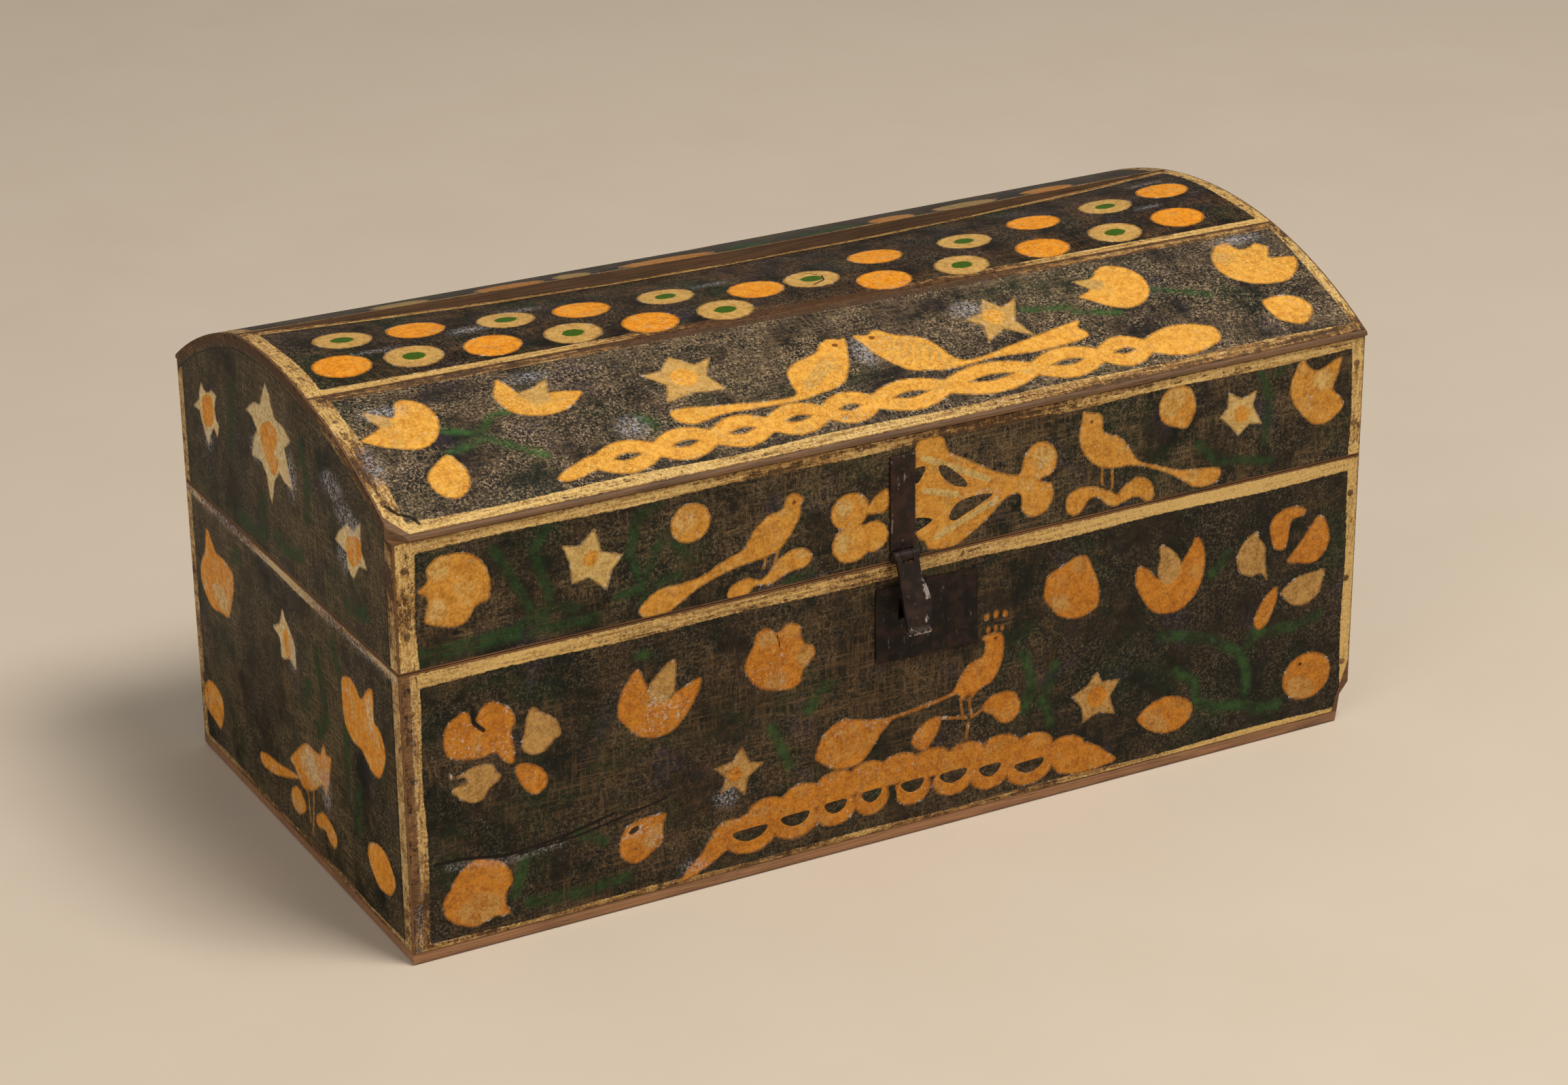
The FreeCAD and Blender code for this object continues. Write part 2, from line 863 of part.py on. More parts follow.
def hasp_staple():
    """The wire loop on the tongue that the lock bolt catches."""
    low, high = staple_levels()
    front = pin_y - knuckle_radius
    bend = -half_depth + staple_reach
    tip = Vector(hasp_x, bend + staple_pitch / 2, staple_z)
    low_bend = Vector(hasp_x, bend, low)
    high_bend = Vector(hasp_x, bend, high)
    loop = bent_wire([
        line(Vector(hasp_x, front, low), low_bend),
        arc(low_bend, tip, high_bend),
        line(high_bend, Vector(hasp_x, front, high)),
    ], staple_wire_radius)
    for z in (low, high):
        button = rose_head(staple_button_radius, staple_button_height)
        loop = loop.fuse(set_at(button, Vector(hasp_x, front, z), Y_AXIS))
    return hasp_turn(one_solid(loop.removeSplitter()))


# Lock

def plate_spots():
    """The four nail points near the corners of the lock plate."""
    middle_x = hasp_x + plate_shift
    top = plate_low() + plate_height
    across = plate_width / 2 - plate_nail_inset
    face = -half_depth - plate_thickness
    spots = []
    for x in (middle_x - across, middle_x + across):
        spots.append((Vector(x, face, top - plate_nail_edge), Y_AXIS))
        spots.append((Vector(x, face, plate_low() + plate_nail_foot), Y_AXIS))
    return spots


def plate_low():
    return base_top - plate_drop - plate_height


def plate_nail_holes():
    return [small_nail_hole(point, direction) for point, direction in plate_spots()]


def lock_plate():
    """The iron plate with the staple slot and the keyhole."""
    middle_x = hasp_x + plate_shift
    half = plate_width / 2
    low = plate_low()
    plate = block(middle_x - half, middle_x + half, -half_depth - plate_thickness,
                  -half_depth, low, low + plate_height)
    plate = ease(plate, plate_corner,
                 lambda c: near(c.y, -half_depth - plate_thickness / 2))
    return one_solid(cut_all(plate, plate_nail_holes() + [staple_slot(), keyhole()]))


def staple_slot():
    middle_z = pin_z - lock_slot_drop
    return block(hasp_x - lock_slot_width / 2, hasp_x + lock_slot_width / 2,
                 -half_depth - plate_thickness - overrun, -half_depth + overrun,
                 middle_z - lock_slot_height / 2, middle_z + lock_slot_height / 2)


def keyhole():
    x = hasp_x + keyhole_shift
    z = pin_z - keyhole_drop
    front = -half_depth - plate_thickness - overrun
    deep = plate_thickness + 2 * overrun
    eye = Part.makeCylinder(keyhole_radius, deep, Vector(x, front, z), Y_AXIS)
    ward = block(x - keyhole_slot_width / 2, x + keyhole_slot_width / 2,
                 front, front + deep, z - keyhole_slot_length, z)
    return eye.fuse(ward)


def lock_bolt():
    """The sliding bolt, with a notch below for the key and a rounded tip."""
    tip = hasp_x + staple_wire_radius + bolt_tip_distance
    back = -half_depth + bolt_play
    bolt = block(tip, tip + bolt_length, back, back + bolt_thickness,
                 staple_z - bolt_height / 2, staple_z + bolt_height / 2)
    bolt = ease(bolt, bolt_tip_round,
                lambda c: near(c.x, tip) and near(c.y, back + bolt_thickness / 2))
    key_x = hasp_x + keyhole_shift
    low = staple_z - bolt_height / 2
    notch = block(key_x - talon_width / 2, key_x + talon_width / 2,
                  back - overrun, back + bolt_thickness + overrun,
                  low - overrun, low + talon_depth)
    return one_solid(bolt.cut(notch))


def bolt_guides():
    """Three iron bridges behind the plate that the bolt runs through."""
    guides = []
    gap = bolt_play
    deep = bolt_thickness + 2 * gap
    high = bolt_height / 2 + gap
    for shift in guide_shifts:
        x = hasp_x + shift
        bridge = block(x - guide_width / 2, x + guide_width / 2,
                       -half_depth, -half_depth + deep + guide_wall,
                       staple_z - high - guide_wall, staple_z + high + guide_wall)
        outer = -half_depth + deep + guide_wall
        bridge = ease(bridge, guide_wall / 2,
                      lambda c: near(c.y, outer) and near(c.x, x))
        passage = block(x - guide_width, x + guide_width, -half_depth - overrun,
                        -half_depth + deep, staple_z - high, staple_z + high)
        guides.append(one_solid(bridge.cut(passage)))
    return Part.makeCompound(guides)


def lock_spring():
    """A leaf spring pressing on the bolt, held by a small block."""
    right = hasp_x + pocket_shift + pocket_width / 2 - spring_block
    low = staple_z + bolt_height / 2 + bolt_play
    left = right - spring_length
    y = -half_depth
    middle = (left + right) / 2
    high = low + spring_rise
    leaf = [
        arc(Vector(left, y, low), Vector(middle, y, high), Vector(right, y, high)),
        line(Vector(right, y, high), Vector(right, y, high + spring_leaf)),
        arc(Vector(right, y, high + spring_leaf), Vector(middle, y, high + spring_leaf),
            Vector(left, y, low + spring_leaf)),
        line(Vector(left, y, low + spring_leaf), Vector(left, y, low)),
    ]
    strip = solid_from(leaf, Y_AXIS * spring_width)
    holder = block(right - spring_leaf, right + spring_block / 2, y, y + spring_width,
                   high - spring_leaf, high + spring_block)
    return one_solid(strip.fuse(holder).removeSplitter())


def main():
    os.makedirs("parts", exist_ok=True)
    save(bottom_board(), "bottom_board")
    save(base_front_board(), "base_front_board")
    save(base_back_board(), "base_back_board")
    save(base_end_board(-1), "base_left_end")
    save(base_end_board(1), "base_right_end")
    save(nails_at(base_spots, nail_length), "base_corner_nails")
    save(nails_at(bottom_spots(), nail_length), "bottom_nails")
    save(base_hinge_pins(), "base_hinge_pins")
    save(lock_plate(), "lock_plate")
    save(Part.makeCompound([small_nail(*spot) for spot in plate_spots()]),
         "lock_plate_nails")
    save(bolt_guides(), "lock_bolt_guides")
    save(lock_spring(), "lock_spring")
    save(lock_bolt(), "lock_bolt")
    save(lid_rail(-1), "lid_front_rail")
    save(lid_rail(1), "lid_back_rail")
    save(lid_end_board(-1), "lid_left_end")
    save(lid_end_board(1), "lid_right_end")
    save(dome_front_board(), "dome_front_board")
    save(dome_top_board(), "dome_top_board")
    save(dome_back_board(), "dome_back_board")
    save(nails_at(lid_spots, nail_length), "lid_corner_nails")
    save(dome_nails(), "dome_nails")
    save(lid_hinge_pins(), "lid_hinge_pins")
    save(hasp_strap(), "hasp_strap")
    save(Part.makeCompound([small_nail(*spot) for spot in strap_nail_spots()]),
         "strap_nails")
    save(hasp_pin(), "hasp_pin")
    save(hasp_tongue(), "hasp_tongue")
    save(hasp_staple(), "hasp_staple")


main()
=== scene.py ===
import math

import bpy
import numpy as np
from mathutils import Matrix, Vector


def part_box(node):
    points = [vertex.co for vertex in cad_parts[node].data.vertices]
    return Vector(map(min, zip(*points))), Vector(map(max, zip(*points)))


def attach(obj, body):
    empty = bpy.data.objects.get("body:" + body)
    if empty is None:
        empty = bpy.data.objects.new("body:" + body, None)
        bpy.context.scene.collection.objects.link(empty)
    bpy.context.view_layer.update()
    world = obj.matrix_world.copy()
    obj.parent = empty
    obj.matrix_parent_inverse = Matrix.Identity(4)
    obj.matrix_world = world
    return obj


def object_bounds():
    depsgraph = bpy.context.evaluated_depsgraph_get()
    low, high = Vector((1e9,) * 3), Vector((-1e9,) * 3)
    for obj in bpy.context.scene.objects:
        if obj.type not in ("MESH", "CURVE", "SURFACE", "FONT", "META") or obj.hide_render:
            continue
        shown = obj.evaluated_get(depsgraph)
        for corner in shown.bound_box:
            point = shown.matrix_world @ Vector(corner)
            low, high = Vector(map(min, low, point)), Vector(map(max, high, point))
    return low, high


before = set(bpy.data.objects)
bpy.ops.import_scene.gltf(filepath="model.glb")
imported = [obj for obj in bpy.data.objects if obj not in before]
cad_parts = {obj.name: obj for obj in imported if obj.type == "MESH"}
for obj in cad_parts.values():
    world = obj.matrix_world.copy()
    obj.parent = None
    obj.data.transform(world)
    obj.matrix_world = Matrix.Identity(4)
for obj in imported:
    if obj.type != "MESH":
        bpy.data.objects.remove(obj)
cad_low, cad_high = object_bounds()


# Bottom board: a thin softwood board nailed up under the four sides. It was never
# painted underneath, and its edges are rubbed round, brown and greasy.

MM = 0.001


def paint(red, green, blue):
    """A colour as it looks on a screen, 0 to 255, turned into linear light."""
    linear = []
    for part in (red, green, blue):
        share = part / 255
        linear.append(((share + 0.055) / 1.055) ** 2.4 if share > 0.04 else share / 12.92)
    return (*linear, 1)


class Bench:
    """The node tree of one finish or group, with short calls to add to it. Each call
    makes a node or a few, and gives back the socket that carries the result."""

    def __init__(self, tree):
        self.tree = tree

    def node(self, kind, feeds=None, **settings):
        """Makes a node of a kind, sets it, and feeds its inputs by name or number."""
        made = self.tree.nodes.new(kind)
        for name, value in settings.items():
            setattr(made, name, value)
        for name, value in (feeds or {}).items():
            self.feed(made.inputs[name], value)
        return made

    def feed(self, socket, value):
        """Joins an input to another node's output, or holds it at a constant."""
        if isinstance(value, bpy.types.NodeSocket):
            self.tree.links.new(value, socket)
        else:
            socket.default_value = value

    def math(self, operation, first, second=0.0):
        """One reckoning with one or two values."""
        made = self.node("ShaderNodeMath", {0: first, 1: second}, operation=operation)
        return made.outputs[0]

    def product(self, first, *others):
        """All the values multiplied together."""
        for other in others:
            first = self.math("MULTIPLY", first, other)
        return first

    def total(self, first, second):
        """Two values added together."""
        return self.math("ADD", first, second)

    def rest(self, share):
        """What a share leaves over of one."""
        return self.math("SUBTRACT", 1.0, share)

    def step(self, value, start, end):
        """Rises softly from 0 to 1 as the value goes from start to end."""
        return self.node("ShaderNodeMapRange", {
            "Value": value, "From Min": start, "From Max": end},
            interpolation_type="SMOOTHSTEP").outputs[0]

    def mix(self, share, first, second):
        """The first colour where the share is 0, the second where it is 1."""
        made = self.node("ShaderNodeMix", {0: share, 6: first, 7: second}, data_type="RGBA")
        return made.outputs[2]

    def glaze(self, colour, tint, *shares):
        """Lays a tint over a colour, by shares that are multiplied together."""
        return self.mix(self.product(*shares), colour, tint)

    def scaled(self, vector, scale):
        """A place with each of its three measures multiplied."""
        return self.node("ShaderNodeVectorMath", {0: vector, 1: scale},
                         operation="MULTIPLY").outputs[0]

    def moved(self, vector, shift):
        """A place shifted along the three axes."""
        return self.node("ShaderNodeVectorMath", {0: vector, 1: shift},
                         operation="ADD").outputs[0]

    def noise(self, vector, scale, detail=3.0, rough=0.55):
        """Clouds about a half, between 0 and 1, with so many to the millimetre."""
        return self.node("ShaderNodeTexNoise", {
            "Vector": vector, "Scale": scale, "Detail": detail,
            "Roughness": rough}).outputs[0]

    def place_in_mm(self):
        """The object's own coordinates, in millimetres."""
        place = self.node("ShaderNodeTexCoord").outputs["Object"]
        return self.scaled(place, (1 / MM,) * 3)

    def effect(self, group, feeds):
        """Puts in one of the shared groups and gives all its outputs."""
        made = self.node("ShaderNodeGroup", node_tree=group)
        for name, value in feeds.items():
            self.feed(made.inputs[name], value)
        return made.outputs

    def finish(self, colour, roughness, height, metallic=0.0, specular=0.5):
        """Ends a material: one plain shader, with the height in millimetres."""
        bump = self.node("ShaderNodeBump", {
            "Strength": 1.0, "Distance": MM, "Height": height})
        shader = self.node("ShaderNodeBsdfPrincipled", {
            "Base Color": colour, "Roughness": roughness, "Metallic": metallic,
            "Specular IOR Level": specular, "Normal": bump.outputs[0]})
        out = self.node("ShaderNodeOutputMaterial")
        self.feed(out.inputs["Surface"], shader.outputs[0])


def new_material(name):
    """An empty material, and the bench it is built on."""
    material = bpy.data.materials.new(name)
    material.use_nodes = True
    material.node_tree.nodes.clear()
    return material, Bench(material.node_tree)


def new_effect(name, inputs, outputs):
    """An empty node group. Each input has the number, or the three, that it takes
    when nothing is joined to it; every output is one number."""
    tree = bpy.data.node_groups.new(name, "ShaderNodeTree")
    for title, value in inputs.items():
        kind = "NodeSocketVector" if isinstance(value, tuple) else "NodeSocketFloat"
        socket = tree.interface.new_socket(title, in_out="INPUT", socket_type=kind)
        socket.default_value = value
    for title in outputs:
        tree.interface.new_socket(title, in_out="OUTPUT", socket_type="NodeSocketFloat")
    bench = Bench(tree)
    entry = bench.node("NodeGroupInput").outputs
    leave = bench.node("NodeGroupOutput").inputs
    return tree, bench, entry, leave


def grain_effect():
    """Wood grain: noise drawn out long, bent into rings, with fine open pores."""
    tree, bench, entry, leave = new_effect(
        "wood_grain", {"Place": (0, 0, 0), "Draw out": (0.03, 1, 1)}, ["Rings", "Pores"])
    along = bench.scaled(entry["Place"], entry["Draw out"])
    broad = bench.noise(along, 0.16, 2.0)
    waves = bench.math("SINE", bench.product(broad, 60.0))
    rings = bench.total(bench.product(waves, 0.35), 0.5)
    fibre = bench.noise(along, 1.6, 5.0, 0.7)
    bench.feed(leave["Rings"], bench.product(bench.total(rings, fibre), 0.5))
    bench.feed(leave["Pores"], bench.step(bench.noise(along, 3.0, 4.0, 0.7), 0.6, 0.72))
    return tree


wood_grain = grain_effect()


def old_wood(name, pale, deep, draw_out, soot):
    """Old bare softwood: brown grain from deep to pale, dark pores, and soot in broad
    patches. The grain runs along the axis that is drawn out."""
    material, bench = new_material(name)
    place = bench.place_in_mm()
    grain = bench.effect(wood_grain, {"Place": place, "Draw out": draw_out})
    colour = bench.mix(grain["Rings"], deep, pale)
    grime = bench.step(bench.noise(place, 0.012, 6.0, 0.62), 0.4, 0.72)
    colour = bench.glaze(colour, paint(46, 32, 22), grime, soot)
    colour = bench.glaze(colour, paint(38, 26, 18), grain["Pores"], 0.6)
    height = bench.math("SUBTRACT", bench.product(grain["Rings"], 0.12),
                        bench.product(grain["Pores"], 0.15))
    roughness = bench.total(bench.product(grain["Pores"], 0.15), 0.62)
    bench.finish(colour, roughness, height, specular=0.3)
    return material


def coat(nodes, material):
    """Gives CAD pieces their finish in their own material slots."""
    for node in nodes:
        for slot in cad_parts[node].material_slots:
            slot.material = material


ALONG_X = (0.03, 1, 1)
ALONG_Y = (1, 0.03, 1)
coat(["bottom_board"], old_wood("worn_bottom_wood", paint(174, 128, 90),
                                paint(124, 84, 56), ALONG_X, 0.45))


# Sides of the base and lid: nine-millimetre boards, the long ones lapped over the
# ends and nailed, with thinner planks on the barrel. Inside and on their rubbed
# arrises they are bare brown wood. The planks' wood is darker still, most on the
# rear plank: painted shade for the dark gaps between the planks.

LONG_BOARDS = ["base_front_board", "base_back_board", "lid_front_rail", "lid_back_rail"]
PLANKS = ["dome_front_board", "dome_top_board"]
END_BOARDS = ["base_left_end", "base_right_end", "lid_left_end", "lid_right_end"]
coat(LONG_BOARDS, old_wood("worn_long_wood", paint(142, 100, 60), paint(86, 56, 32),
                           ALONG_X, 0.5))
# The barrel planks' bare wood is darker than the boards': painted shade for the gaps between the
# planks, most on the rear plank.
coat(PLANKS, old_wood("worn_plank_wood_with_shade", paint(132, 96, 62), paint(78, 54, 36),
                      ALONG_X, 0.45))
coat(["dome_back_board"], old_wood("shaded_rear_plank_wood", paint(104, 75, 49), paint(62, 43, 29),
                                   ALONG_X, 0.5))
coat(END_BOARDS, old_wood("worn_end_wood", paint(138, 98, 60), paint(84, 56, 34),
                          ALONG_Y, 0.5))


# Paint on the front of the base: a thin skin of oil paint laid straight on the
# board. A black-green ground is framed by ochre bands, with flowers, stars, a
# bird and a scalloped chain in orange and pale ochre, worn and scratched with age.

FILM = 0.12
MARGIN = 0.7
PAINT_REACH = 4.0


def smooth_outline(points, steps=4):
    """A closed curve through the points: each span is a cubic whose slope at a
    point is half the way between its two neighbours."""
    point = np.asarray(points, float)
    before, after, later = (np.roll(point, shift, 0) for shift in (1, -1, -2))
    share = np.linspace(0, 1, steps, endpoint=False)[None, :, None]
    start, end = point[:, None], after[:, None]
    slope = (after - before)[:, None] / 2
    next_slope = (later - point)[:, None] / 2
    curve = ((2 * share ** 3 - 3 * share ** 2 + 1) * start
             + (share ** 3 - 2 * share ** 2 + share) * slope
             + (3 * share ** 2 - 2 * share ** 3) * end
             + (share ** 3 - share ** 2) * next_slope)
    return curve.reshape(-1, 2)


TINY = 1e-9


def nearest_side(spot, start, side):
    """The distance from each point to the nearest of some straight sides, each given
    by its start and by the way from there to its end."""
    length = (side ** 2).sum(-1) + TINY
    share = np.clip(((spot - start) * side).sum(-1) / length, 0, 1)
    return np.sqrt(((spot - start - side * share[..., None]) ** 2).sum(-1)).min(1)


class Painting:
    """What is painted on one board. For each colour it holds, at every point of the
    board, the distance in millimetres to the edge of that colour, negative inside."""

    def __init__(self, across, up):
        self.across = across
        self.up = up
        self.marks = {name: np.full(across.shape, PAINT_REACH)
                      for name in ("band", "orange", "pale", "tint", "heart", "spot", "green",
                                   "pale_scuff_and_glint", "red", "dark", "hole", "bare")}
        self.worn = np.zeros(across.shape)
        self.upright = np.zeros(across.shape)

    def near(self, low, high):
        """The points between two corners, and as far beyond as a distance is kept."""
        reach = PAINT_REACH
        return ((self.across > low[0] - reach) & (self.across < high[0] + reach)
                & (self.up > low[1] - reach) & (self.up < high[1] + reach))

    def add(self, colour, where, distance):
        """Joins one figure to a colour: the smaller of the two distances is kept."""
        mark = self.marks[colour]
        mark[where] = np.minimum(mark[where], distance)

    def lay(self, colour, distance):
        """Joins a distance worked out for the whole board to a colour."""
        self.add(colour, ..., distance)

    def shape(self, colour, points, smooth=True):
        """Fills an outline: the distance to its nearest side, with the sign given
        by how many sides a line drawn from the point crosses."""
        outline = smooth_outline(points) if smooth else np.asarray(points, float)
        where = self.near(outline.min(0), outline.max(0))
        spot = np.stack([self.across[where], self.up[where]], -1)[:, None]
        start, end = outline[None], np.roll(outline, -1, 0)[None]
        side = end - start
        away = nearest_side(spot, start, side)
        spans = (start[..., 1] > spot[..., 1]) != (end[..., 1] > spot[..., 1])
        rise = np.where(side[..., 1] == 0, TINY, side[..., 1])
        crossing = start[..., 0] + (spot[..., 1] - start[..., 1]) * side[..., 0] / rise
        inside = (spans & (crossing > spot[..., 0])).sum(1) % 2 == 1
        self.add(colour, where, np.where(inside, -away, away))

    def disc(self, colour, centre, wide, high, turn=0.0):
        """Fills an ellipse: the scaled distance from its centre, less one."""
        centre = np.asarray(centre, float)
        reach = max(wide, high)
        where = self.near(centre - reach, centre + reach)
        across = self.across[where] - centre[0]
        up = self.up[where] - centre[1]
        cos, sin = math.cos(turn), math.sin(turn)
        scaled = np.hypot((across * cos + up * sin) / wide, (up * cos - across * sin) / high)
        self.add(colour, where, (scaled - 1) * min(wide, high))

    def stroke(self, colour, points, width):
        """Draws a brush line: the distance to the nearest stretch, less half its width."""
        point = np.asarray(points, float)
        where = self.near(point.min(0) - width, point.max(0) + width)
        spot = np.stack([self.across[where], self.up[where]], -1)[:, None]
        away = nearest_side(spot, point[None, :-1], (point[1:] - point[:-1])[None])
        self.add(colour, where, away - width / 2)

    def discs(self, colour, *touches):
        """Ellipses of one colour: each has a centre, a half width and a half height."""
        for centre, wide, high in touches:
            self.disc(colour, centre, wide, high)

    def strokes(self, colour, width, *lines):
        """Brush lines of one colour and width."""
        for points in lines:
            self.stroke(colour, points, width)

    def star(self, tips, notches, centre, heart):
        """A five-pointed flower: straight sides from tip to notch, an orange heart."""
        points = [point for pair in zip(tips, notches) for point in pair]
        self.shape("pale", points, smooth=False)
        self.disc("heart", centre, heart, heart)

    def fray(self, away, depth, amount):
        """Rubs a strip: most where the given distance is nought."""
        self.worn += amount * np.exp(-(away / depth) ** 2)

    def wear(self, *patches):
        """Rubs soft round patches: each most at its centre, fading with the square."""
        for centre, radius, amount in patches:
            away = np.hypot(self.across - centre[0], self.up - centre[1]) / radius
            self.worn += amount * np.exp(-away ** 2)


def craze_effect():
    """Crazed old paint: the cracks between cells of a stretched, stirred pattern."""
    tree, bench, entry, leave = new_effect(
        "crazed_paint", {"Place": (0, 0, 0), "Cells per mm": 0.5, "Crack width": 0.08},
        ["Cracks"])
    stir = bench.node("ShaderNodeTexNoise", {
        "Vector": entry["Place"], "Scale": 0.35, "Detail": 3.0}).outputs["Color"]
    shift = bench.scaled(bench.moved(stir, (-0.5, -0.5, -0.5)), (3.0, 3.0, 3.0))
    cells = bench.node("ShaderNodeTexVoronoi", {
        "Vector": bench.moved(entry["Place"], shift), "Scale": entry["Cells per mm"]},
        feature="DISTANCE_TO_EDGE").outputs["Distance"]
    bench.feed(leave["Cracks"], bench.step(cells, entry["Crack width"], 0.0))
    return tree


def brushed_mark_effect():
    """A brush-laid edge: the painted distance, made ragged, turned into a cover."""
    tree, bench, entry, leave = new_effect(
        "brushed_mark", {"Distance": 1.0, "Ragged": 0.0, "Softness": 0.3}, ["Cover"])
    edge = bench.total(entry["Distance"], entry["Ragged"])
    inner = bench.product(entry["Softness"], -1.0)
    bench.feed(leave["Cover"], bench.step(edge, entry["Softness"], inner))
    return tree


def scratched_ground_effect():
    """A rubbed dark ground: in patches, combed streaks both ways where wood shows."""
    tree, bench, entry, leave = new_effect("scratched_ground", {
        "Place": (0, 0, 0), "Along": (0.06, 1, 1), "Across": (1, 1, 0.1), "Worn": 0.0},
        ["Streaks", "Bare"])
    drawn = bench.scaled(entry["Place"], entry["Along"])
    along = bench.step(bench.noise(drawn, 0.8, 6.0, 0.8), 0.47, 0.6)
    upright = bench.noise(bench.scaled(entry["Place"], entry["Across"]), 0.9, 5.0, 0.8)
    combed = bench.step(upright, 0.47, 0.6)
    cloud = bench.total(bench.noise(entry["Place"], 0.05, 6.0, 0.74), entry["Worn"])
    patch = bench.step(cloud, 0.42, 0.66)
    streaks = bench.product(bench.math("MAXIMUM", along, combed), patch)
    worn_through = bench.total(bench.noise(drawn, 0.5, 6.0, 0.76), entry["Worn"])
    bench.feed(leave["Streaks"], streaks)
    bench.feed(leave["Bare"], bench.step(worn_through, 0.74, 0.84))
    return tree


crazed_paint = craze_effect()
brushed_mark = brushed_mark_effect()
scratched_ground = scratched_ground_effect()
UPRIGHT_STREAKS = (1, 0.16, 0.16)


def painted_finish(name, ground, scratch, orange, pale, ochre, along=(0.06, 1, 1),
                   across=(1, 1, 0.1), speckle=0.2, rubbed_share=0.75, craze=0.03,
                   leaves=(paint(26, 46, 22), paint(42, 70, 34)), sheen=0.13):
    """Old oil paint on wood. The board's painted distances say where each colour
    lies; noise makes every edge ragged, and wear and crazing show what is below.
    Ground, orange, pale, ochre and leaves are each a deep and a light colour."""
    material, bench = new_material(name)
    place = bench.place_in_mm()

    def painted(mark):
        """What the painting holds for a mark at this point."""
        return bench.node("ShaderNodeAttribute", attribute_name=mark).outputs["Fac"]

    def centred(value, size):
        """A noise turned into a swing both ways about nought, of this whole size."""
        return bench.product(bench.math("SUBTRACT", value, 0.5), size)

    def elsewhere(shift, *texture):
        """Noise from another part of the pattern, so that it keeps step with no other."""
        return bench.noise(bench.moved(place, shift), *texture)

    ragged = bench.total(centred(bench.noise(place, 0.45, 4.0), 1.5),
                         centred(bench.noise(place, 2.2, 2.0), 0.5))
    trim = bench.product(ragged, 0.3)

    def cover(mark, softness=0.25, edge=ragged):
        """How much of a mark lies here, from 0 to 1, behind a ragged edge."""
        return bench.effect(brushed_mark, {
            "Distance": painted(mark), "Ragged": edge, "Softness": softness})["Cover"]

    # ground, clouded green, violet and black, with streaks, grit and soft leaves
    broad = bench.noise(place, 0.03, 4.0, 0.62)
    colour = bench.mix(bench.step(broad, 0.4, 0.62), ground[0], ground[1])
    murk = elsewhere((130.0, 40.0, 70.0), 0.028, 3.0)
    colour = bench.glaze(colour, paint(28, 44, 24), bench.step(murk, 0.5, 0.66), 0.6)
    bloom = elsewhere((-60.0, 90.0, 20.0), 0.04, 4.0)
    colour = bench.glaze(colour, paint(52, 44, 58), bench.step(bloom, 0.56, 0.7), 0.5)
    mottle = elsewhere((15.0, -35.0, 75.0), 0.2, 6.0, 0.8)
    colour = bench.glaze(colour, paint(13, 14, 11), bench.step(mottle, 0.48, 0.6), 0.6)
    worn = painted("worn")
    rubbed = bench.effect(scratched_ground, {
        "Place": place, "Along": along, "Across": across, "Worn": worn})
    colour = bench.glaze(colour, scratch, rubbed["Streaks"], rubbed_share)
    grit = bench.noise(place, 0.85, 5.0, 0.9)
    dusted = bench.product(bench.step(bench.noise(place, 0.045, 4.0, 0.7), 0.34, 0.62), speckle)
    colour = bench.glaze(colour, paint(190, 162, 126), bench.step(grit, 0.51, 0.58), dusted)
    colour = bench.glaze(colour, paint(14, 13, 11), bench.step(grit, 0.47, 0.38), 0.7)
    brushed = bench.noise(place, 0.16, 5.0, 0.7)
    leaf = bench.mix(bench.step(brushed, 0.4, 0.62), leaves[0], leaves[1])
    leaf_share = bench.product(cover("green", 2.2, trim), bench.step(brushed, 0.1, 0.6), 0.85)
    colour = bench.mix(leaf_share, colour, leaf)
    specks = elsewhere((31.0, -17.0, 53.0), 0.7, 5.0, 0.85)

    # bands: streaky ochre, brushed lengthwise, worn to dark wood
    drawn = bench.scaled(place, along)
    stood = bench.scaled(place, UPRIGHT_STREAKS)
    upright = painted("upright")

    def streaks(scale, rough):
        """Brush streaks that run along a band: lengthwise, or up where it is upright."""
        lengthwise = bench.noise(drawn, scale, 5.0, rough)
        heightwise = bench.noise(stood, scale, 5.0, rough)
        blend = bench.node("ShaderNodeMix", {0: upright, 2: lengthwise, 3: heightwise})
        return blend.outputs[0]

    dabs = bench.noise(place, 0.3, 5.0, 0.7)
    strokes = elsewhere((70.0, 20.0, -40.0), 0.8, 5.0, 0.78)

    def halfway(first, second):
        """The mean of two values."""
        return bench.product(bench.total(first, second), 0.5)

    tone = bench.math("SUBTRACT", halfway(streaks(0.9, 0.7), strokes), worn)
    band = bench.mix(bench.step(tone, 0.42, 0.56), ochre[0], ochre[1])
    band = bench.glaze(band, paint(232, 214, 176), bench.step(specks, 0.55, 0.62), 0.7)
    loss = bench.total(halfway(streaks(0.36, 0.8), bench.noise(place, 0.3, 6.0, 0.85)), worn)
    lost_band = bench.step(loss, 0.55, 0.59)
    band = bench.glaze(band, paint(132, 86, 46), bench.step(loss, 0.51, 0.56), 0.6)
    band_mark = cover("band")
    kept_band = bench.product(band_mark, bench.rest(bench.product(lost_band, 0.9)))
    colour = bench.glaze(colour, paint(66, 44, 30), band_mark, lost_band, 0.8)
    colour = bench.mix(kept_band, colour, band)

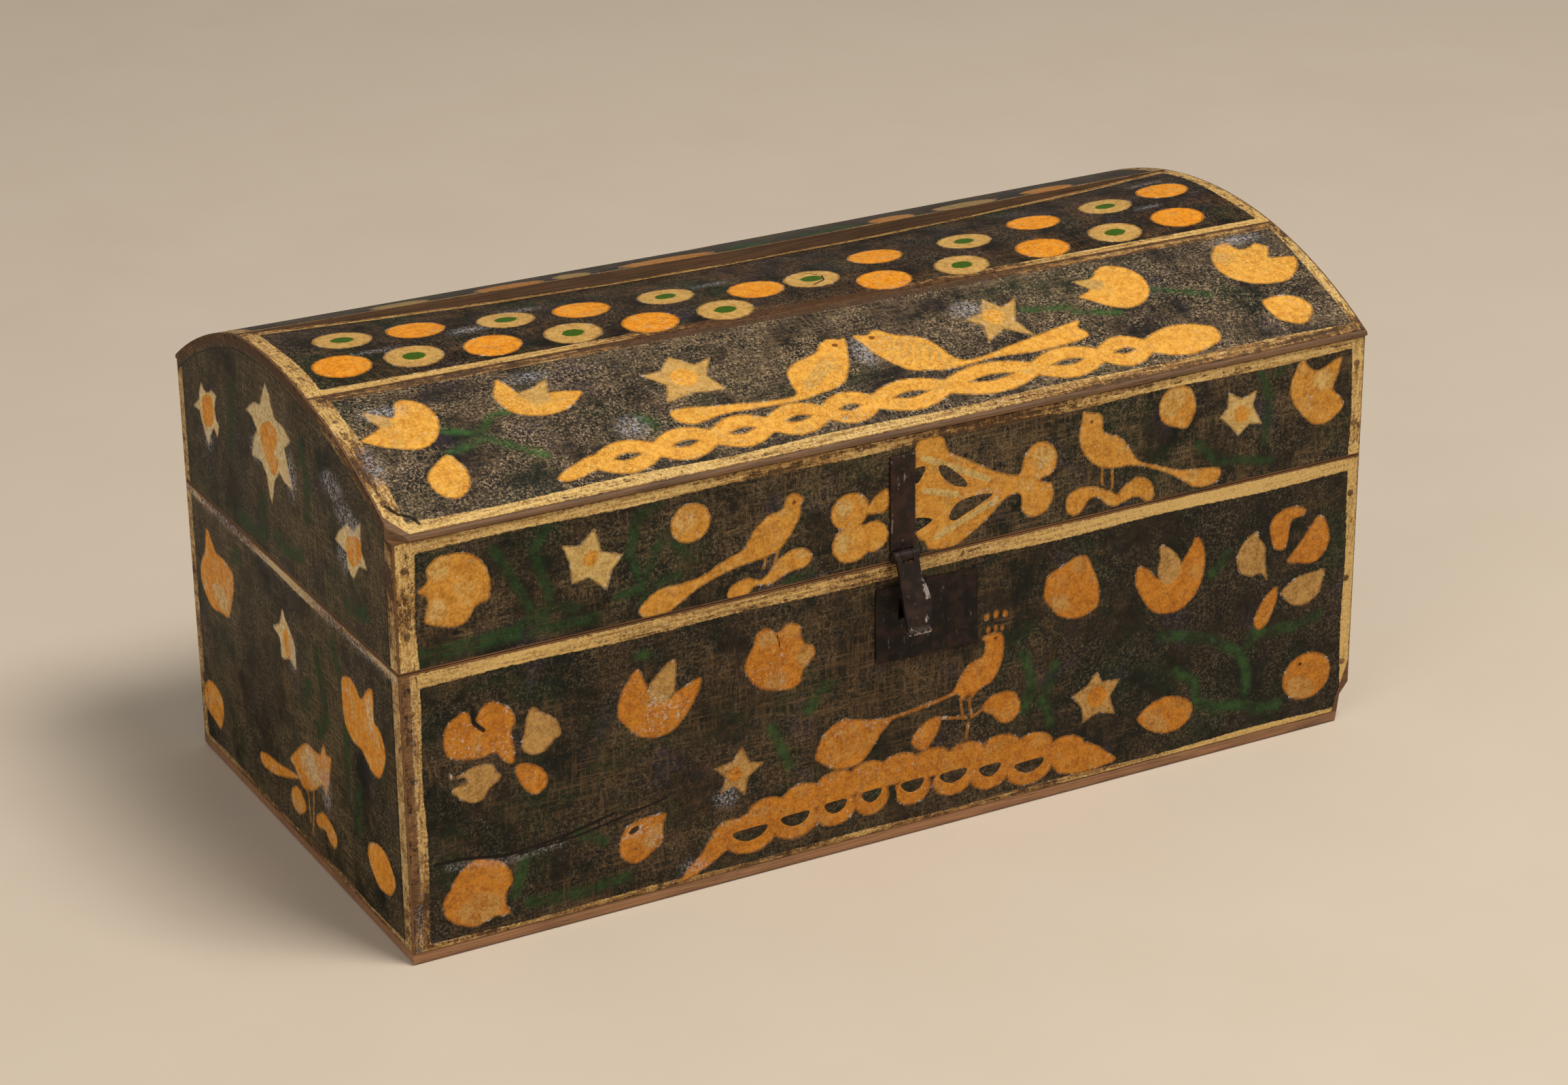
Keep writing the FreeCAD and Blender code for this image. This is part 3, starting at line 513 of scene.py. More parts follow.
    # figures: dabbed orange and pale ochre with darker rims
    lit = bench.step(halfway(dabs, strokes), 0.36, 0.6)
    soft = bench.mix(lit, pale[0], pale[1])
    warm = bench.mix(lit, orange[0], orange[1])
    patches = elsewhere((-25.0, 65.0, 10.0), 0.11, 5.0, 0.75)
    warm = bench.glaze(warm, soft, bench.step(patches, 0.5, 0.66), 0.5)
    warm = bench.glaze(warm, orange[0], bench.step(patches, 0.46, 0.32), 0.55)
    warm = bench.glaze(warm, soft, cover("tint", 1.6), bench.step(dabs, 0.3, 0.6), 0.85)
    shown = bench.rest(cover("hole", 0.2, trim))
    covers = {mark: bench.product(cover(mark), shown) for mark in ("orange", "pale", "heart")}
    flaked = bench.total(bench.noise(place, 0.5, 6.0, 0.8), bench.product(worn, 0.5))
    lost = bench.step(flaked, 0.67, 0.71)
    primer = bench.product(bench.step(flaked, 0.61, 0.64), bench.step(
        bench.noise(place, 0.05, 2.0), 0.46, 0.56))
    kept = bench.rest(bench.product(lost, 0.85))
    for mark, paint_colour in (("orange", warm), ("pale", soft), ("heart", warm)):
        colour = bench.glaze(colour, paint_colour, covers[mark], kept)
    marked = bench.math("MAXIMUM", bench.math("MAXIMUM", covers["orange"], covers["pale"]),
                        covers["heart"])
    nearest = bench.total(bench.math("MINIMUM", painted("orange"), painted("pale")), ragged)
    rim = bench.product(marked, bench.step(nearest, -1.1, -0.3), 0.6)
    colour = bench.mix(rim, colour, paint(96, 58, 26))
    chips = bench.product(bench.step(nearest, -1.2, -0.4), bench.step(nearest, 0.7, 0.2),
                          bench.step(bench.noise(place, 0.3, 5.0, 0.75), 0.59, 0.63))
    colour = bench.glaze(colour, paint(184, 180, 178), chips, 0.7)
    colour = bench.glaze(colour, paint(214, 208, 200), marked, primer, 0.75)
    colour = bench.glaze(colour, paint(66, 60, 60), marked, lost, 0.8)
    pits = bench.step(bench.noise(place, 1.0, 5.0, 0.78), 0.62, 0.68)
    any_paint = bench.math("MAXIMUM", marked, kept_band)
    colour = bench.glaze(colour, paint(96, 62, 34), any_paint, pits, 0.6)
    colour = bench.mix(cover("spot", 0.4), colour, paint(60, 90, 16))
    colour = bench.glaze(colour, paint(104, 40, 18), cover("red", 0.3, trim), 0.85)
    flecks = bench.step(elsewhere((5.0, 71.0, 13.0), 0.6, 5.0, 0.8), 0.69, 0.72)
    colour = bench.glaze(colour, paint(176, 172, 166), flecks, 0.75)
    # pale lilac-grey patches: whitish scuffs on the paint, and painted glints and highlights where
    # the varnish, edges and cracks catch the light
    scuff_and_glint_share = bench.product(cover("pale_scuff_and_glint", 3.0), bench.step(specks, 0.5, 0.56))
    colour = bench.glaze(colour, paint(184, 182, 186), scuff_and_glint_share, 0.85)

    # cracks, drawn dark lines and bare wood
    cracks = bench.effect(crazed_paint, {"Place": place, "Crack width": craze})["Cracks"]
    crack_share = bench.product(cracks, bench.step(broad, 0.35, 0.6))
    colour = bench.glaze(colour, paint(28, 22, 16), crack_share, 0.5)
    colour = bench.glaze(colour, paint(24, 17, 12), cover("dark", 0.2, trim), 0.92)
    grain = bench.effect(wood_grain, {"Place": place, "Draw out": along})
    wood = bench.mix(grain["Rings"], paint(74, 48, 30), paint(140, 98, 62))
    wood = bench.mix(bench.step(dabs, 0.5, 0.6), wood, paint(44, 31, 22))
    bare = bench.math("MAXIMUM", cover("bare"), bench.product(
        rubbed["Bare"], bench.rest(any_paint)))
    colour = bench.glaze(colour, wood, bare, 0.85)

    height = bench.product(any_paint, 0.08)
    for part, amount in ((crack_share, -0.06), (rubbed["Streaks"], -0.04), (grit, 0.13),
                         (pits, -0.06), (bare, -0.08), (strokes, 0.06)):
        height = bench.total(height, bench.product(part, amount))
    roughness = bench.total(bench.product(bare, 0.2), bench.total(
        bench.product(grit, 0.5), 0.16))
    bench.finish(colour, roughness, height, specular=sheen)
    return material


RIM_STEP = 16


def painted_skin(name, body, finish, columns, rows, spread, press, artwork,
                 gap=(0, 0, 0, 0)):
    """A closed skin of paint on one board. Two shares, along and up, run over a
    grid; spread turns them into places on the painting in mm, and press lays these
    on the wood at a given height. A coarser grid closes it just below the wood.
    A gap, two steps of rows and two columns, is a hole right through the skin."""
    along, up = np.meshgrid(np.linspace(0, 1, columns + 1), np.linspace(0, 1, rows + 1))
    across, level = spread(along, up)
    painting = Painting(across, level)
    artwork(painting)
    top = press(across, level, FILM)
    rim_rows = np.arange(0, rows + 1, RIM_STEP)
    rim = press(across[rim_rows], level[rim_rows], -FILM)
    points = np.concatenate([top.reshape(-1, 3), rim.reshape(-1, 3)])
    width = columns + 1
    on_top = np.arange(width * (rows + 1)).reshape(rows + 1, width)
    under = width * (rows + 1) + np.arange(rim.shape[0] * width).reshape(-1, width)

    def quads(low, high):
        """Quads between two rows of corners, or two stacks of rows."""
        sides = (low[..., :-1], low[..., 1:], high[..., 1:], high[..., :-1])
        return np.stack(sides, -1).reshape(-1, 4)

    steps = rim_rows.size - 1
    low, high, first, last = gap
    rest_above = np.ones((rows, columns), bool)
    rest_above[rim_rows[low]:rim_rows[high], first:last] = False
    rest_under = np.ones((steps, columns), bool)
    rest_under[low:high, first:last] = False
    hole = slice(first, last + 1)
    laid = np.concatenate([
        quads(on_top[:-1], on_top[1:])[rest_above.ravel()],
        quads(under[1:], under[:-1])[rest_under.ravel()],
        quads(under[0], on_top[0]), quads(on_top[-1], under[-1]),
        quads(on_top[rim_rows[low], hole], under[low, hole]),
        quads(under[high, hole], on_top[rim_rows[high], hole])])
    walls = []

    def upright_wall(column, start, end, faces_left):
        """Closes one side of the skin, or of its gap, from step to step."""
        for step in range(start, end):
            edge = on_top[rim_rows[step]:rim_rows[step + 1] + 1, column]
            foot, head = under[step, column], under[step + 1, column]
            walls.append(np.array([*edge, head, foot] if faces_left
                                  else [*edge[::-1], foot, head]))

    upright_wall(0, 0, steps, True)
    upright_wall(columns, 0, steps, False)
    upright_wall(first, low, high, False)
    upright_wall(last, low, high, True)
    used = np.unique(np.concatenate([laid.ravel(), *walls]))
    renumbered = np.zeros(len(points), int)
    renumbered[used] = np.arange(used.size)
    faces = renumbered[laid].tolist() + [renumbered[wall].tolist() for wall in walls]
    mesh = bpy.data.meshes.new(name)
    mesh.from_pydata((points[used] * MM).tolist(), [], faces)
    marks = dict(painting.marks, worn=painting.worn, upright=painting.upright)
    for mark, values in marks.items():
        whole = np.concatenate([values.ravel(), values[rim_rows].ravel()])[used]
        layer = mesh.attributes.new(mark, "FLOAT", "POINT")
        layer.data.foreach_set("value", whole.astype(np.float32))
    mesh.materials.append(finish)
    piece = bpy.data.objects.new(name, mesh)
    bpy.context.scene.collection.objects.link(piece)
    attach(piece, body)


def limits(node):
    """A board's lowest and highest corners in millimetres."""
    low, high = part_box(node)
    return np.array(low) / MM, np.array(high) / MM


ARRIS = 0.9


def bands(painting, left, right, low, high):
    """Ochre bands along a board's edges, bare on the arris. Each edge gives where it
    lies and how far in the band ends, wavering by up to a millimetre; a point's
    distance is the least it lies beyond any of them."""
    across, up = painting.across, painting.up
    waver = 0.5 * np.sin(across / 17.0) + 0.5 * np.sin(up / 11.0)
    for edge, inward, value in ((left, 1, across), (right, -1, across),
                                (low, 1, up), (high, -1, up)):
        if edge:
            place, width = edge
            away = (value - place) * inward
            painting.lay("band", away - width + waver)
            painting.lay("bare", away - ARRIS)
            if value is across:
                painting.upright = np.where(away < width, 1.0, painting.upright)


BASE_LOW, BASE_HIGH = limits("base_front_board")
FRONT = BASE_LOW[1]
HALF = BASE_HIGH[0]
BASE_ROWS = 160
FOOT_BREAK_ROWS = (0, RIM_STEP, 2 * RIM_STEP)
FOOT_BREAK_WIDTHS = (-8.6, -4.6, 0)
FOOT_BREAK_DEPTHS = (13.2, 7.8, 0)


def between(left, right, low, high):
    """Spreads the two shares evenly between four edges, in mm. A side may be given by
    a function of the share up, and the low or high edge by one of the place across."""
    def spread(along, up):
        start, end = (edge(up) if callable(edge) else edge for edge in (left, right))
        across = start + (end - start) * along
        foot, head = (edge(across) if callable(edge) else edge for edge in (low, high))
        return across, foot + (head - foot) * up
    return spread


def broken(edge, rows, break_rows, steps):
    """A side edge moved over where wood is broken away, straight from row to row."""
    return lambda up: edge + np.interp(up * rows, break_rows, steps)


def on_face(axis, place, facing):
    """A flat upright face, square to the x or y axis: the film's height is added to
    the face's place, in the direction it faces."""
    def press(across, up, proud):
        level = np.full(across.shape, place + facing * proud)
        return np.stack([level, across, up] if axis == "x" else [across, level, up], -1)
    return press


def paint_base_front(painting):
    """The figures, in millimetres across from the middle and up from the floor."""
    bands(painting, (-HALF, 8.0), (HALF, 6.4), (BASE_LOW[2] - 1, 4.4), (BASE_HIGH[2], 6.6))
    painting.stroke("bare", [(-237.6, 30), (-237.8, 80), (-237.4, 134)], 4.4)
    # a pale line down the corner: whitish wear and a painted highlight
    painting.stroke("pale_scuff_and_glint", [(-237, 4), (-236, 60), (-236, 134)], 1.0)
    painting.fray(painting.across + HALF, 4.0, 0.05)
    painting.fray(HALF - painting.across, 7.0, 0.05)
    # upper left flower
    painting.shape("orange", [
        (-211, 112), (-217, 110), (-221, 106), (-222, 100), (-221, 94), (-216, 91), (-207, 89),
        (-199, 90), (-196, 86), (-191, 83), (-190, 89), (-191, 98), (-189, 102), (-190, 107),
        (-194, 111), (-200, 114), (-204, 112), (-207, 107), (-204, 102), (-208, 105)])
    painting.stroke("dark", [(-208, 113), (-208, 106), (-203.5, 101.5)], 1.8)
    painting.shape("pale", [
        (-181, 107), (-176, 103), (-170.6, 99), (-168.3, 92), (-172, 89), (-177, 85), (-182, 85),
        (-187, 89), (-185, 97), (-184, 103)])
    painting.shape("pale", [
        (-220, 85.6), (-217, 83.3), (-209, 86), (-201, 85.6), (-198, 81), (-196.4, 78), (-202, 74),
        (-206, 69.4), (-213, 70.6), (-217, 74), (-219, 78), (-212, 80), (-214, 82), (-219.7, 83)])
    painting.shape("orange", [
        (-189.4, 82), (-184.4, 81.7), (-178, 78), (-175, 72), (-177, 68), (-180.6, 66),
        (-184.4, 68), (-188, 73), (-190, 78)])
    # first tulip and the flower beside it
    painting.shape("orange", [
        (-132, 113), (-129.4, 108), (-127, 103), (-122, 98), (-117, 96), (-115, 97.8), (-109, 100),
        (-102, 102.4), (-103.3, 95.6), (-108, 88), (-115, 80.6), (-123, 78.7), (-132, 81),
        (-138, 87), (-142, 93), (-141, 101), (-137, 108)])
    painting.shape("pale", [
        (-127, 103.5), (-122.8, 108.3), (-117, 112.8), (-113.6, 113), (-113.9, 104.4), (-115, 97.8),
        (-119, 94.5), (-125, 96)])
    painting.disc("green", (-129.4, 118.3), 3.5, 2.2)
    painting.shape("orange", [
        (-76.7, 111), (-75, 116), (-70, 118), (-65, 114.4), (-60, 117.4), (-54, 115.6), (-53, 110),
        (-51.7, 106.7), (-47, 104), (-47, 99), (-52, 94), (-54, 88), (-59, 86), (-65.6, 87),
        (-73, 89.4), (-78, 94), (-81, 100.6), (-79.4, 106.7)])
    painting.disc("tint", (-70, 112.5), 4.5, 4)
    painting.disc("tint", (-51.5, 100), 4, 5)
    painting.disc("tint", (-66, 91.5), 5, 4)
    painting.stroke("dark", [(-65, 113), (-63.5, 106)], 0.8)
    # stars
    painting.star(
        [(-82.8, 64.4), (-71.7, 54.4), (-81.7, 40.6), (-93.9, 44.4), (-96.7, 57.2)],
        [(-79, 56), (-80, 49), (-87, 46), (-91, 51), (-88, 58.5)],
        (-86.5, 52), heart=3.4)
    painting.star(
        [(98.7, 58), (111.3, 51), (109, 34), (91.7, 33.3), (85.6, 48)],
        [(101.7, 52), (106, 43.3), (100, 36.7), (90.6, 41), (93.3, 51.7)],
        (99, 45), heart=5.2)
    # discs and drops near the foot
    painting.shape("orange", [
        (-210, 43), (-218, 38.3), (-222, 31.7), (-225.6, 25.6), (-224, 18), (-217, 13),
        (-210.6, 11), (-203, 13.3), (-195, 13.3), (-196.7, 19), (-196, 24.4), (-193, 28),
        (-194, 33), (-198, 39), (-205, 41.7)])
    painting.shape("tint", [
        (-219, 20), (-214, 13), (-207, 12.5), (-200, 15), (-198, 20), (-203, 25), (-211, 26)])
    painting.shape("orange", [
        (-126, 42.2), (-120, 41.7), (-121.7, 35.6), (-122, 29), (-128, 24), (-135.6, 21.3),
        (-141.7, 25.6), (-143, 31.7), (-140, 39), (-134, 42)])
    painting.shape("tint", [(-123, 37), (-122.5, 30), (-127, 26), (-131, 29), (-129, 35)])
    painting.disc("dark", (-135.6, 37.5), 2.6, 1.4, 0.4)
    painting.disc("orange", (215.3, 28), 13.7, 12)
    painting.shape("tint", [(204, 26), (207, 18), (214, 16.5), (220, 20), (217, 26), (210, 29)])
    painting.disc("dark", (211.4, 35), 1.0, 0.9)
    painting.shape("orange", [
        (121, 28), (126, 33), (135, 36), (145, 34), (151, 29), (151, 23), (146, 18.5), (139, 17),
        (131, 19), (125, 23)])
    painting.shape("tint", [(124, 28), (128, 22), (134, 18.6), (138, 20), (135, 26), (129, 30)])
    # bird with its sprig
    painting.shape("orange", [
        (-47, 50), (-45.6, 55), (-42, 61), (-34, 65.3), (-27, 64), (-19, 62), (-7.8, 60),
        (-13, 54.4), (-18, 48), (-24, 42), (-31, 40.8), (-39, 43), (-45.6, 48)])
    painting.stroke("orange", [(-9, 60), (10, 62), (25, 64.6)], 1.8)
    painting.shape("orange", [
        (22.8, 64.4), (26, 71), (31, 77), (37.8, 79.4), (39.4, 84.4), (37.8, 88.3), (42, 89.4),
        (46, 89.4), (49, 86), (49, 78), (47, 71), (42.8, 65.6), (36.7, 63.3), (33.3, 60), (31, 62),
        (27.8, 60), (26, 63)])
    painting.disc("red", (44.7, 86.6), 1.0, 0.9)
    for place in ((40, 97.8), (44.8, 98), (49.6, 97.4)):
        painting.disc("orange", place, 1.5, 1.9)
    for place in ((41, 91.5), (44.8, 91.5), (48.2, 91)):
        painting.disc("orange", place, 1.1, 1.6)
    painting.strokes(
        "orange", 1.4, [(26.7, 61), (28.3, 51)], [(31, 60), (32.8, 51)], [(14.4, 54.4), (30, 51)],
        [(33, 50.6), (39, 53.3)], [(31, 48), (30, 40.6)])
    painting.shape("orange", [
        (15.6, 55), (16.7, 51), (13.3, 44.4), (9, 40), (4.4, 41.7), (1.7, 46), (4.4, 51),
        (10, 54.7)])
    painting.shape("orange", [
        (37.8, 52.8), (41, 57.8), (47.8, 59.4), (54.4, 58.3), (57.8, 53.3), (57.8, 47.8),
        (53.3, 43.3), (47.8, 44.2), (43.3, 49)])
    # scalloped chain: lobes above a solid strip, loops below it
    painting.shape("orange", [
        (-114, 6.5), (-110, 12.5), (-104, 17.5), (-98, 24.5), (-90, 25), (-91, 17), (-99, 11.5),
        (-107, 8)])
    painting.stroke("orange", [
        (-94, 20.6), (-78, 27), (-50, 31), (-19, 33), (23, 31), (60, 26.5), (84, 19.5)], 11)
    for place in ((-88, 24), (-70.5, 30), (-53, 32.6), (-36, 34.6), (-20, 35.3),
                  (-4, 35.3), (12.5, 33.8), (30, 32.4), (48, 31.6), (65.5, 28.4), (83, 22.5)):
        painting.disc("orange", place, 10.4, 6.8, -0.1)
    for place, half_loop, half_hole in (
            ((-79.5, 20), 13, 8.4), ((-57, 21.4), 11.8, 7), ((-36.8, 22.4), 10.4, 5.6),
            ((-18.6, 23.2), 9, 5), ((2.4, 23), 9.4, 5.8), ((23.4, 22.4), 10.6, 7),
            ((42.6, 20.6), 10.8, 5.6), ((63.4, 17.6), 12.4, 7.6)):
        painting.disc("orange", place, half_loop, 8.2)
        across, up = place
        painting.shape("hole", [
            (across - half_hole, up + 3.4), (across, up + 4), (across + half_hole, up + 3.6),
            (across + half_hole * 0.7, up - 0.4), (across - half_hole * 0.1, up - 2),
            (across - half_hole * 0.8, up + 0.2)])
    painting.shape("orange", [
        (74, 26), (86, 25), (97, 22), (104, 16.6), (110, 10.4), (98, 8.4), (86, 9), (77, 13)])
    painting.shape("hole", [(-9.5, 26), (-6, 24), (-5.5, 15), (-10, 15)], smooth=False)
    # a pale patch on the chain: whitish scuff and painted glint
    painting.disc("pale_scuff_and_glint", (-107, 13), 5, 2.4)
    for count in range(5):
        across = -44 + 6.4 * count
        painting.stroke("tint", [
            (across, 44 + count), (across + 7, 52 + count), (across + 2, 60 + count)], 1.6)
    # right-hand flowers
    painting.shape("orange", [
        (70, 105.6), (72, 111), (80, 114.4), (86, 117), (92, 116), (95, 110), (98, 103.3),
        (99, 95.6), (98, 90), (92, 87), (84.4, 87), (78, 89.4), (74, 94), (70, 99.4)])
    painting.disc("tint", (78, 96), 5.5, 4.5)
    painting.disc("tint", (89, 112), 4.5, 3.5)
    painting.shape("orange", [
        (120, 105), (125.6, 101.7), (130, 97), (136, 96), (142, 101), (146.7, 107), (150.6, 112.6),
        (154.4, 108), (156, 100), (154.4, 91), (150.6, 83.3), (143.3, 78.3), (135.6, 77.8),
        (128, 80.6), (122, 88), (118.3, 95.6), (118, 101)])
    painting.shape("pale", [
        (130, 98), (131, 105.6), (130.6, 110.6), (132, 112.6), (138, 109), (143, 101.5), (141, 95),
        (135, 92)])
    painting.shape("pale", [
        (183, 108), (185.6, 104.4), (189, 99), (189.4, 91), (191, 82), (186.7, 86.7), (182, 86),
        (175.6, 89.4), (173, 95.6), (175.6, 103)])
    painting.shape("orange", [
        (191, 106.7), (192, 112), (198, 116), (205.6, 116), (211, 113.3), (209.4, 110.6),
        (203.3, 109.4), (202, 103.3), (200.6, 97), (197, 95.6), (193, 99)])
    painting.shape("orange", [
        (220.6, 108.3), (224, 102), (225, 95.6), (223, 90), (216.7, 85.6), (208, 87), (201, 89.4),
        (206.7, 95.6), (212, 102), (216.7, 108)])
    painting.shape("pale", [
        (198.3, 73.7), (203.3, 78), (210, 80.6), (218, 81), (223, 81), (222, 74.4), (220, 69),
        (212, 65), (204.4, 67), (200, 71.7)])
    painting.shape("orange", [
        (196, 78), (196.7, 73.3), (195, 66.7), (191, 59.4), (186, 58.3), (184, 63.3), (186.7, 70),
        (192, 76)])
    # green sprays
    painting.strokes(
        "green", 5.0, [(132, 68), (149, 63), (160, 59), (171, 53), (178, 47), (181, 38), (181, 29)],
        [(181, 51), (184, 57), (204, 55.6), (220, 58)],
        [(142, 47), (152, 40), (154, 28), (166, 24), (178, 22), (186, 18), (199, 17)],
        [(-192, 22), (-188, 36)], [(60, 75), (64, 60), (60, 48)],
        [(-186, 16), (-160, 14), (-140, 16)], [(-150, 36), (-162, 44)], [(-68, 70), (-60, 50)],
        [(76, 66), (70, 50), (74, 38)], [(160, 92), (168, 100)], [(-50, 74), (-40, 84)])
    # long grain crack, worm holes and rubbed places
    painting.stroke("dark", [(-228, 45), (-215, 44.5), (-196, 41), (-170, 43), (-145, 48)], 1.5)
    painting.stroke("dark", [(-190, 40), (-160, 42), (-120, 49)], 1.1)
    # a painted highlight along the crack's lower lip
    painting.stroke("pale_scuff_and_glint", [(-222, 42.4), (-196, 38.6), (-170, 40.6)], 1.2)
    painting.disc("dark", (-215, 118.3), 1.4, 1.2)
    # a pale patch by the star: whitish scuff and painted glint
    painting.disc("pale_scuff_and_glint", (-91, 42), 5, 4)
    painting.fray(painting.up - BASE_LOW[2], 5.0, 0.04)
    painting.wear(
        ((-1, 83), 34, 0.12), ((-50, 72), 40, 0.09), ((-140, 62), 44, 0.07), ((-236, 26), 12, 0.1),
        ((-206, 98), 22, 0.12), ((-121, 92), 16, 0.1), ((-134, 32), 12, 0.14),
        ((206, 100), 20, 0.18), ((150, 96), 60, -0.1), ((190, 70), 80, -0.1),
        ((-190, 120), 40, -0.06), ((190, 50), 46, -0.06), ((60, 8), 60, 0.04))


GROUND = (paint(21, 24, 17), paint(44, 35, 24))
# The front's orange, pale and ochre are darker than the barrel's: painted shade on the upright
# front, which gets less light.
front_finish = painted_finish(
    "painted_front", GROUND, paint(112, 84, 54), (paint(156, 90, 26), paint(204, 132, 42)),
    (paint(139, 100, 48), paint(192, 148, 84)), (paint(144, 106, 56), paint(210, 172, 102)),
    speckle=0.2, rubbed_share=0.6, leaves=(paint(28, 50, 23), paint(50, 80, 38)))

# The staple passes through the paint: the skin is open between these two rim steps
# and these two columns.
STAPLE_GAP = (7, 9, 273, 279)
painted_skin("base_front_paint", "base", front_finish, columns=560, rows=BASE_ROWS,
             spread=between(-HALF + MARGIN,
                            broken(HALF - MARGIN, BASE_ROWS, FOOT_BREAK_ROWS, FOOT_BREAK_WIDTHS),
                            BASE_LOW[2] + MARGIN, BASE_HIGH[2] - MARGIN),
             press=on_face("y", FRONT, -1), artwork=paint_base_front, gap=STAPLE_GAP)


# Paint on the front rail of the lid: the same ground, with a bud, stars, two long-
# tailed birds, leaves and a large flower that the hasp strap is nailed across.

RAIL_LOW, RAIL_HIGH = limits("lid_front_rail")


def paint_lid_rail(painting):
    """The figures, in millimetres across from the middle and up from the floor."""
    bands(painting, (-HALF, 8.6), (HALF, 7.2), None, (RAIL_HIGH[2], 5.2))
    painting.shape("orange", [
        (-222, 183), (-226, 179), (-225.5, 174), (-230, 170), (-226, 166), (-227, 160),
        (-227, 155.5), (-222, 153), (-215, 151), (-209, 152.5), (-204, 158.5), (-199, 160),
        (-197.5, 166), (-198.5, 173), (-202, 179), (-208, 183), (-215, 184)])
    painting.disc("tint", (-221, 178), 5, 4)
    painting.disc("tint", (-222, 160), 4.5, 5)
    painting.star(
        [(-150, 181.5), (-137, 166.5), (-145, 152), (-161, 158.5), (-165, 176.5)],
        [(-147, 170.5), (-142.5, 160.5), (-153, 159.5), (-162, 168), (-157, 175)],
        (-152, 168), heart=3.6)
    painting.disc("orange", (-105.5, 174), 9.5, 9)
    painting.disc("tint", (-108, 176), 5, 5)
    # first bird
    painting.shape("orange", [
        (-131, 139), (-126, 144.5), (-119, 147.5), (-110, 147.5), (-100, 149), (-93, 152.5),
        (-87, 154.5), (-81, 156.5), (-78.5, 160), (-75, 165), (-69, 169.5), (-62.5, 171),
        (-60, 175.5), (-56.5, 177.6), (-53.5, 176), (-51, 173.5), (-53, 171), (-53, 167),
        (-56, 161), (-60, 156), (-63, 153), (-70, 150.5), (-80, 149.5), (-92, 147), (-103, 143),
        (-112, 138), (-119, 134.5), (-126, 134.5)])
    painting.disc("red", (-56, 173), 1.0, 0.9)
    painting.strokes("orange", 1.4, [(-70, 151), (-71, 146)], [(-64, 153), (-66, 146)])
    painting.shape("orange", [
        (-89, 137), (-86, 141.5), (-79, 143), (-73, 141), (-69, 143.5), (-65, 148), (-57, 151.5),
        (-50, 150.5), (-47.5, 146), (-51, 142), (-58, 141.5), (-64, 139), (-69, 137.5),
        (-75, 138.5), (-80, 134.6), (-86, 134)])
    painting.disc("tint", (-52, 149), 3.4, 2.4)
    # figure of eight and the leaf beside the hasp
    painting.disc("orange", (-29, 163), 9.5, 8.6)
    painting.disc("orange", (-28, 148), 10, 9)
    painting.shape("orange", [(-24, 154), (-15, 156), (-10, 150), (-12, 144), (-20, 142)])
    painting.shape("orange", [(-22, 161), (-18, 166), (-10.5, 170), (-10, 161), (-15, 159)])
    painting.disc("tint", (-32, 165), 4, 4)
    painting.disc("tint", (-33, 149), 4, 4.5)
    # large flower
    painting.shape("orange", [
        (4, 188), (10, 189.5), (17, 188), (20, 181), (30, 175), (40, 169), (48, 165), (56, 163),
        (58, 170), (64, 176), (72, 174), (75.5, 167), (73, 160), (67, 158), (72.5, 155), (74, 149),
        (70, 142.5), (63, 141), (57.5, 145), (57, 152), (54, 154), (48, 152), (42, 147), (37, 143),
        (30, 139), (24, 136), (18, 135.6), (10, 137), (8, 141), (5, 143), (3, 150), (3, 180)])
    painting.strokes(
        "pale", 3.0, [(8, 180), (24, 172), (40, 164)], [(8, 165), (24, 160)],
        [(14, 142), (30, 148), (44, 153)])
    painting.disc("tint", (68, 169), 5, 5)
    painting.shape("hole", [
        (15.3, 175.4), (20.1, 173.6), (28.6, 165.4), (28.4, 162.5), (21.5, 165), (16, 171)])
    painting.shape("hole", [
        (20.3, 150.4), (24.3, 155.7), (32.6, 157.4), (42.4, 156.5), (36.8, 153.1), (28.5, 149.7),
        (23, 147.7)])
    painting.shape("hole", [(3, 176), (8.5, 175.8), (5, 169.6), (3, 170)])
    painting.shape("hole", [(3, 153), (12, 150.6), (5.2, 147), (3, 147)])
    # second bird
    painting.shape("orange", [
        (88.5, 185.5), (92, 184.6), (96.7, 183.5), (98.7, 180), (99.4, 174), (106, 171), (110, 168),
        (114.4, 162), (118.3, 156.5), (129, 152), (138, 148.3), (146.7, 146.7), (154.4, 145.7),
        (160.5, 144.6), (163, 141.7), (160.5, 137.8), (154.4, 136.4), (147.8, 137.8), (142, 141.7),
        (135.5, 146.2), (126.7, 150.4), (119, 153.6), (112, 155), (105, 155.5), (98.3, 157.2),
        (93.3, 160.5), (89, 165.5), (86.5, 172), (87, 179), (88, 183)])
    painting.disc("red", (93, 180), 1.0, 0.9)
    painting.strokes("orange", 1.4, [(99, 157), (99, 149)], [(104.4, 156), (104.4, 146)])
    painting.shape("orange", [
        (80, 142.8), (81.7, 147.8), (86.7, 149.6), (93.3, 149.4), (99, 147.2), (104.4, 144.4),
        (107.2, 143), (111, 146), (116.7, 148.7), (122.2, 147.2), (125.6, 143.9), (127, 139.4),
        (126, 135.8), (122.8, 135.6), (120, 138), (115.5, 139.4), (110, 137.8), (105.6, 136.9),
        (101, 139.4), (96.7, 143.3), (92.2, 142.8), (89.4, 138.9), (85.5, 136.7), (81.7, 138.3)])
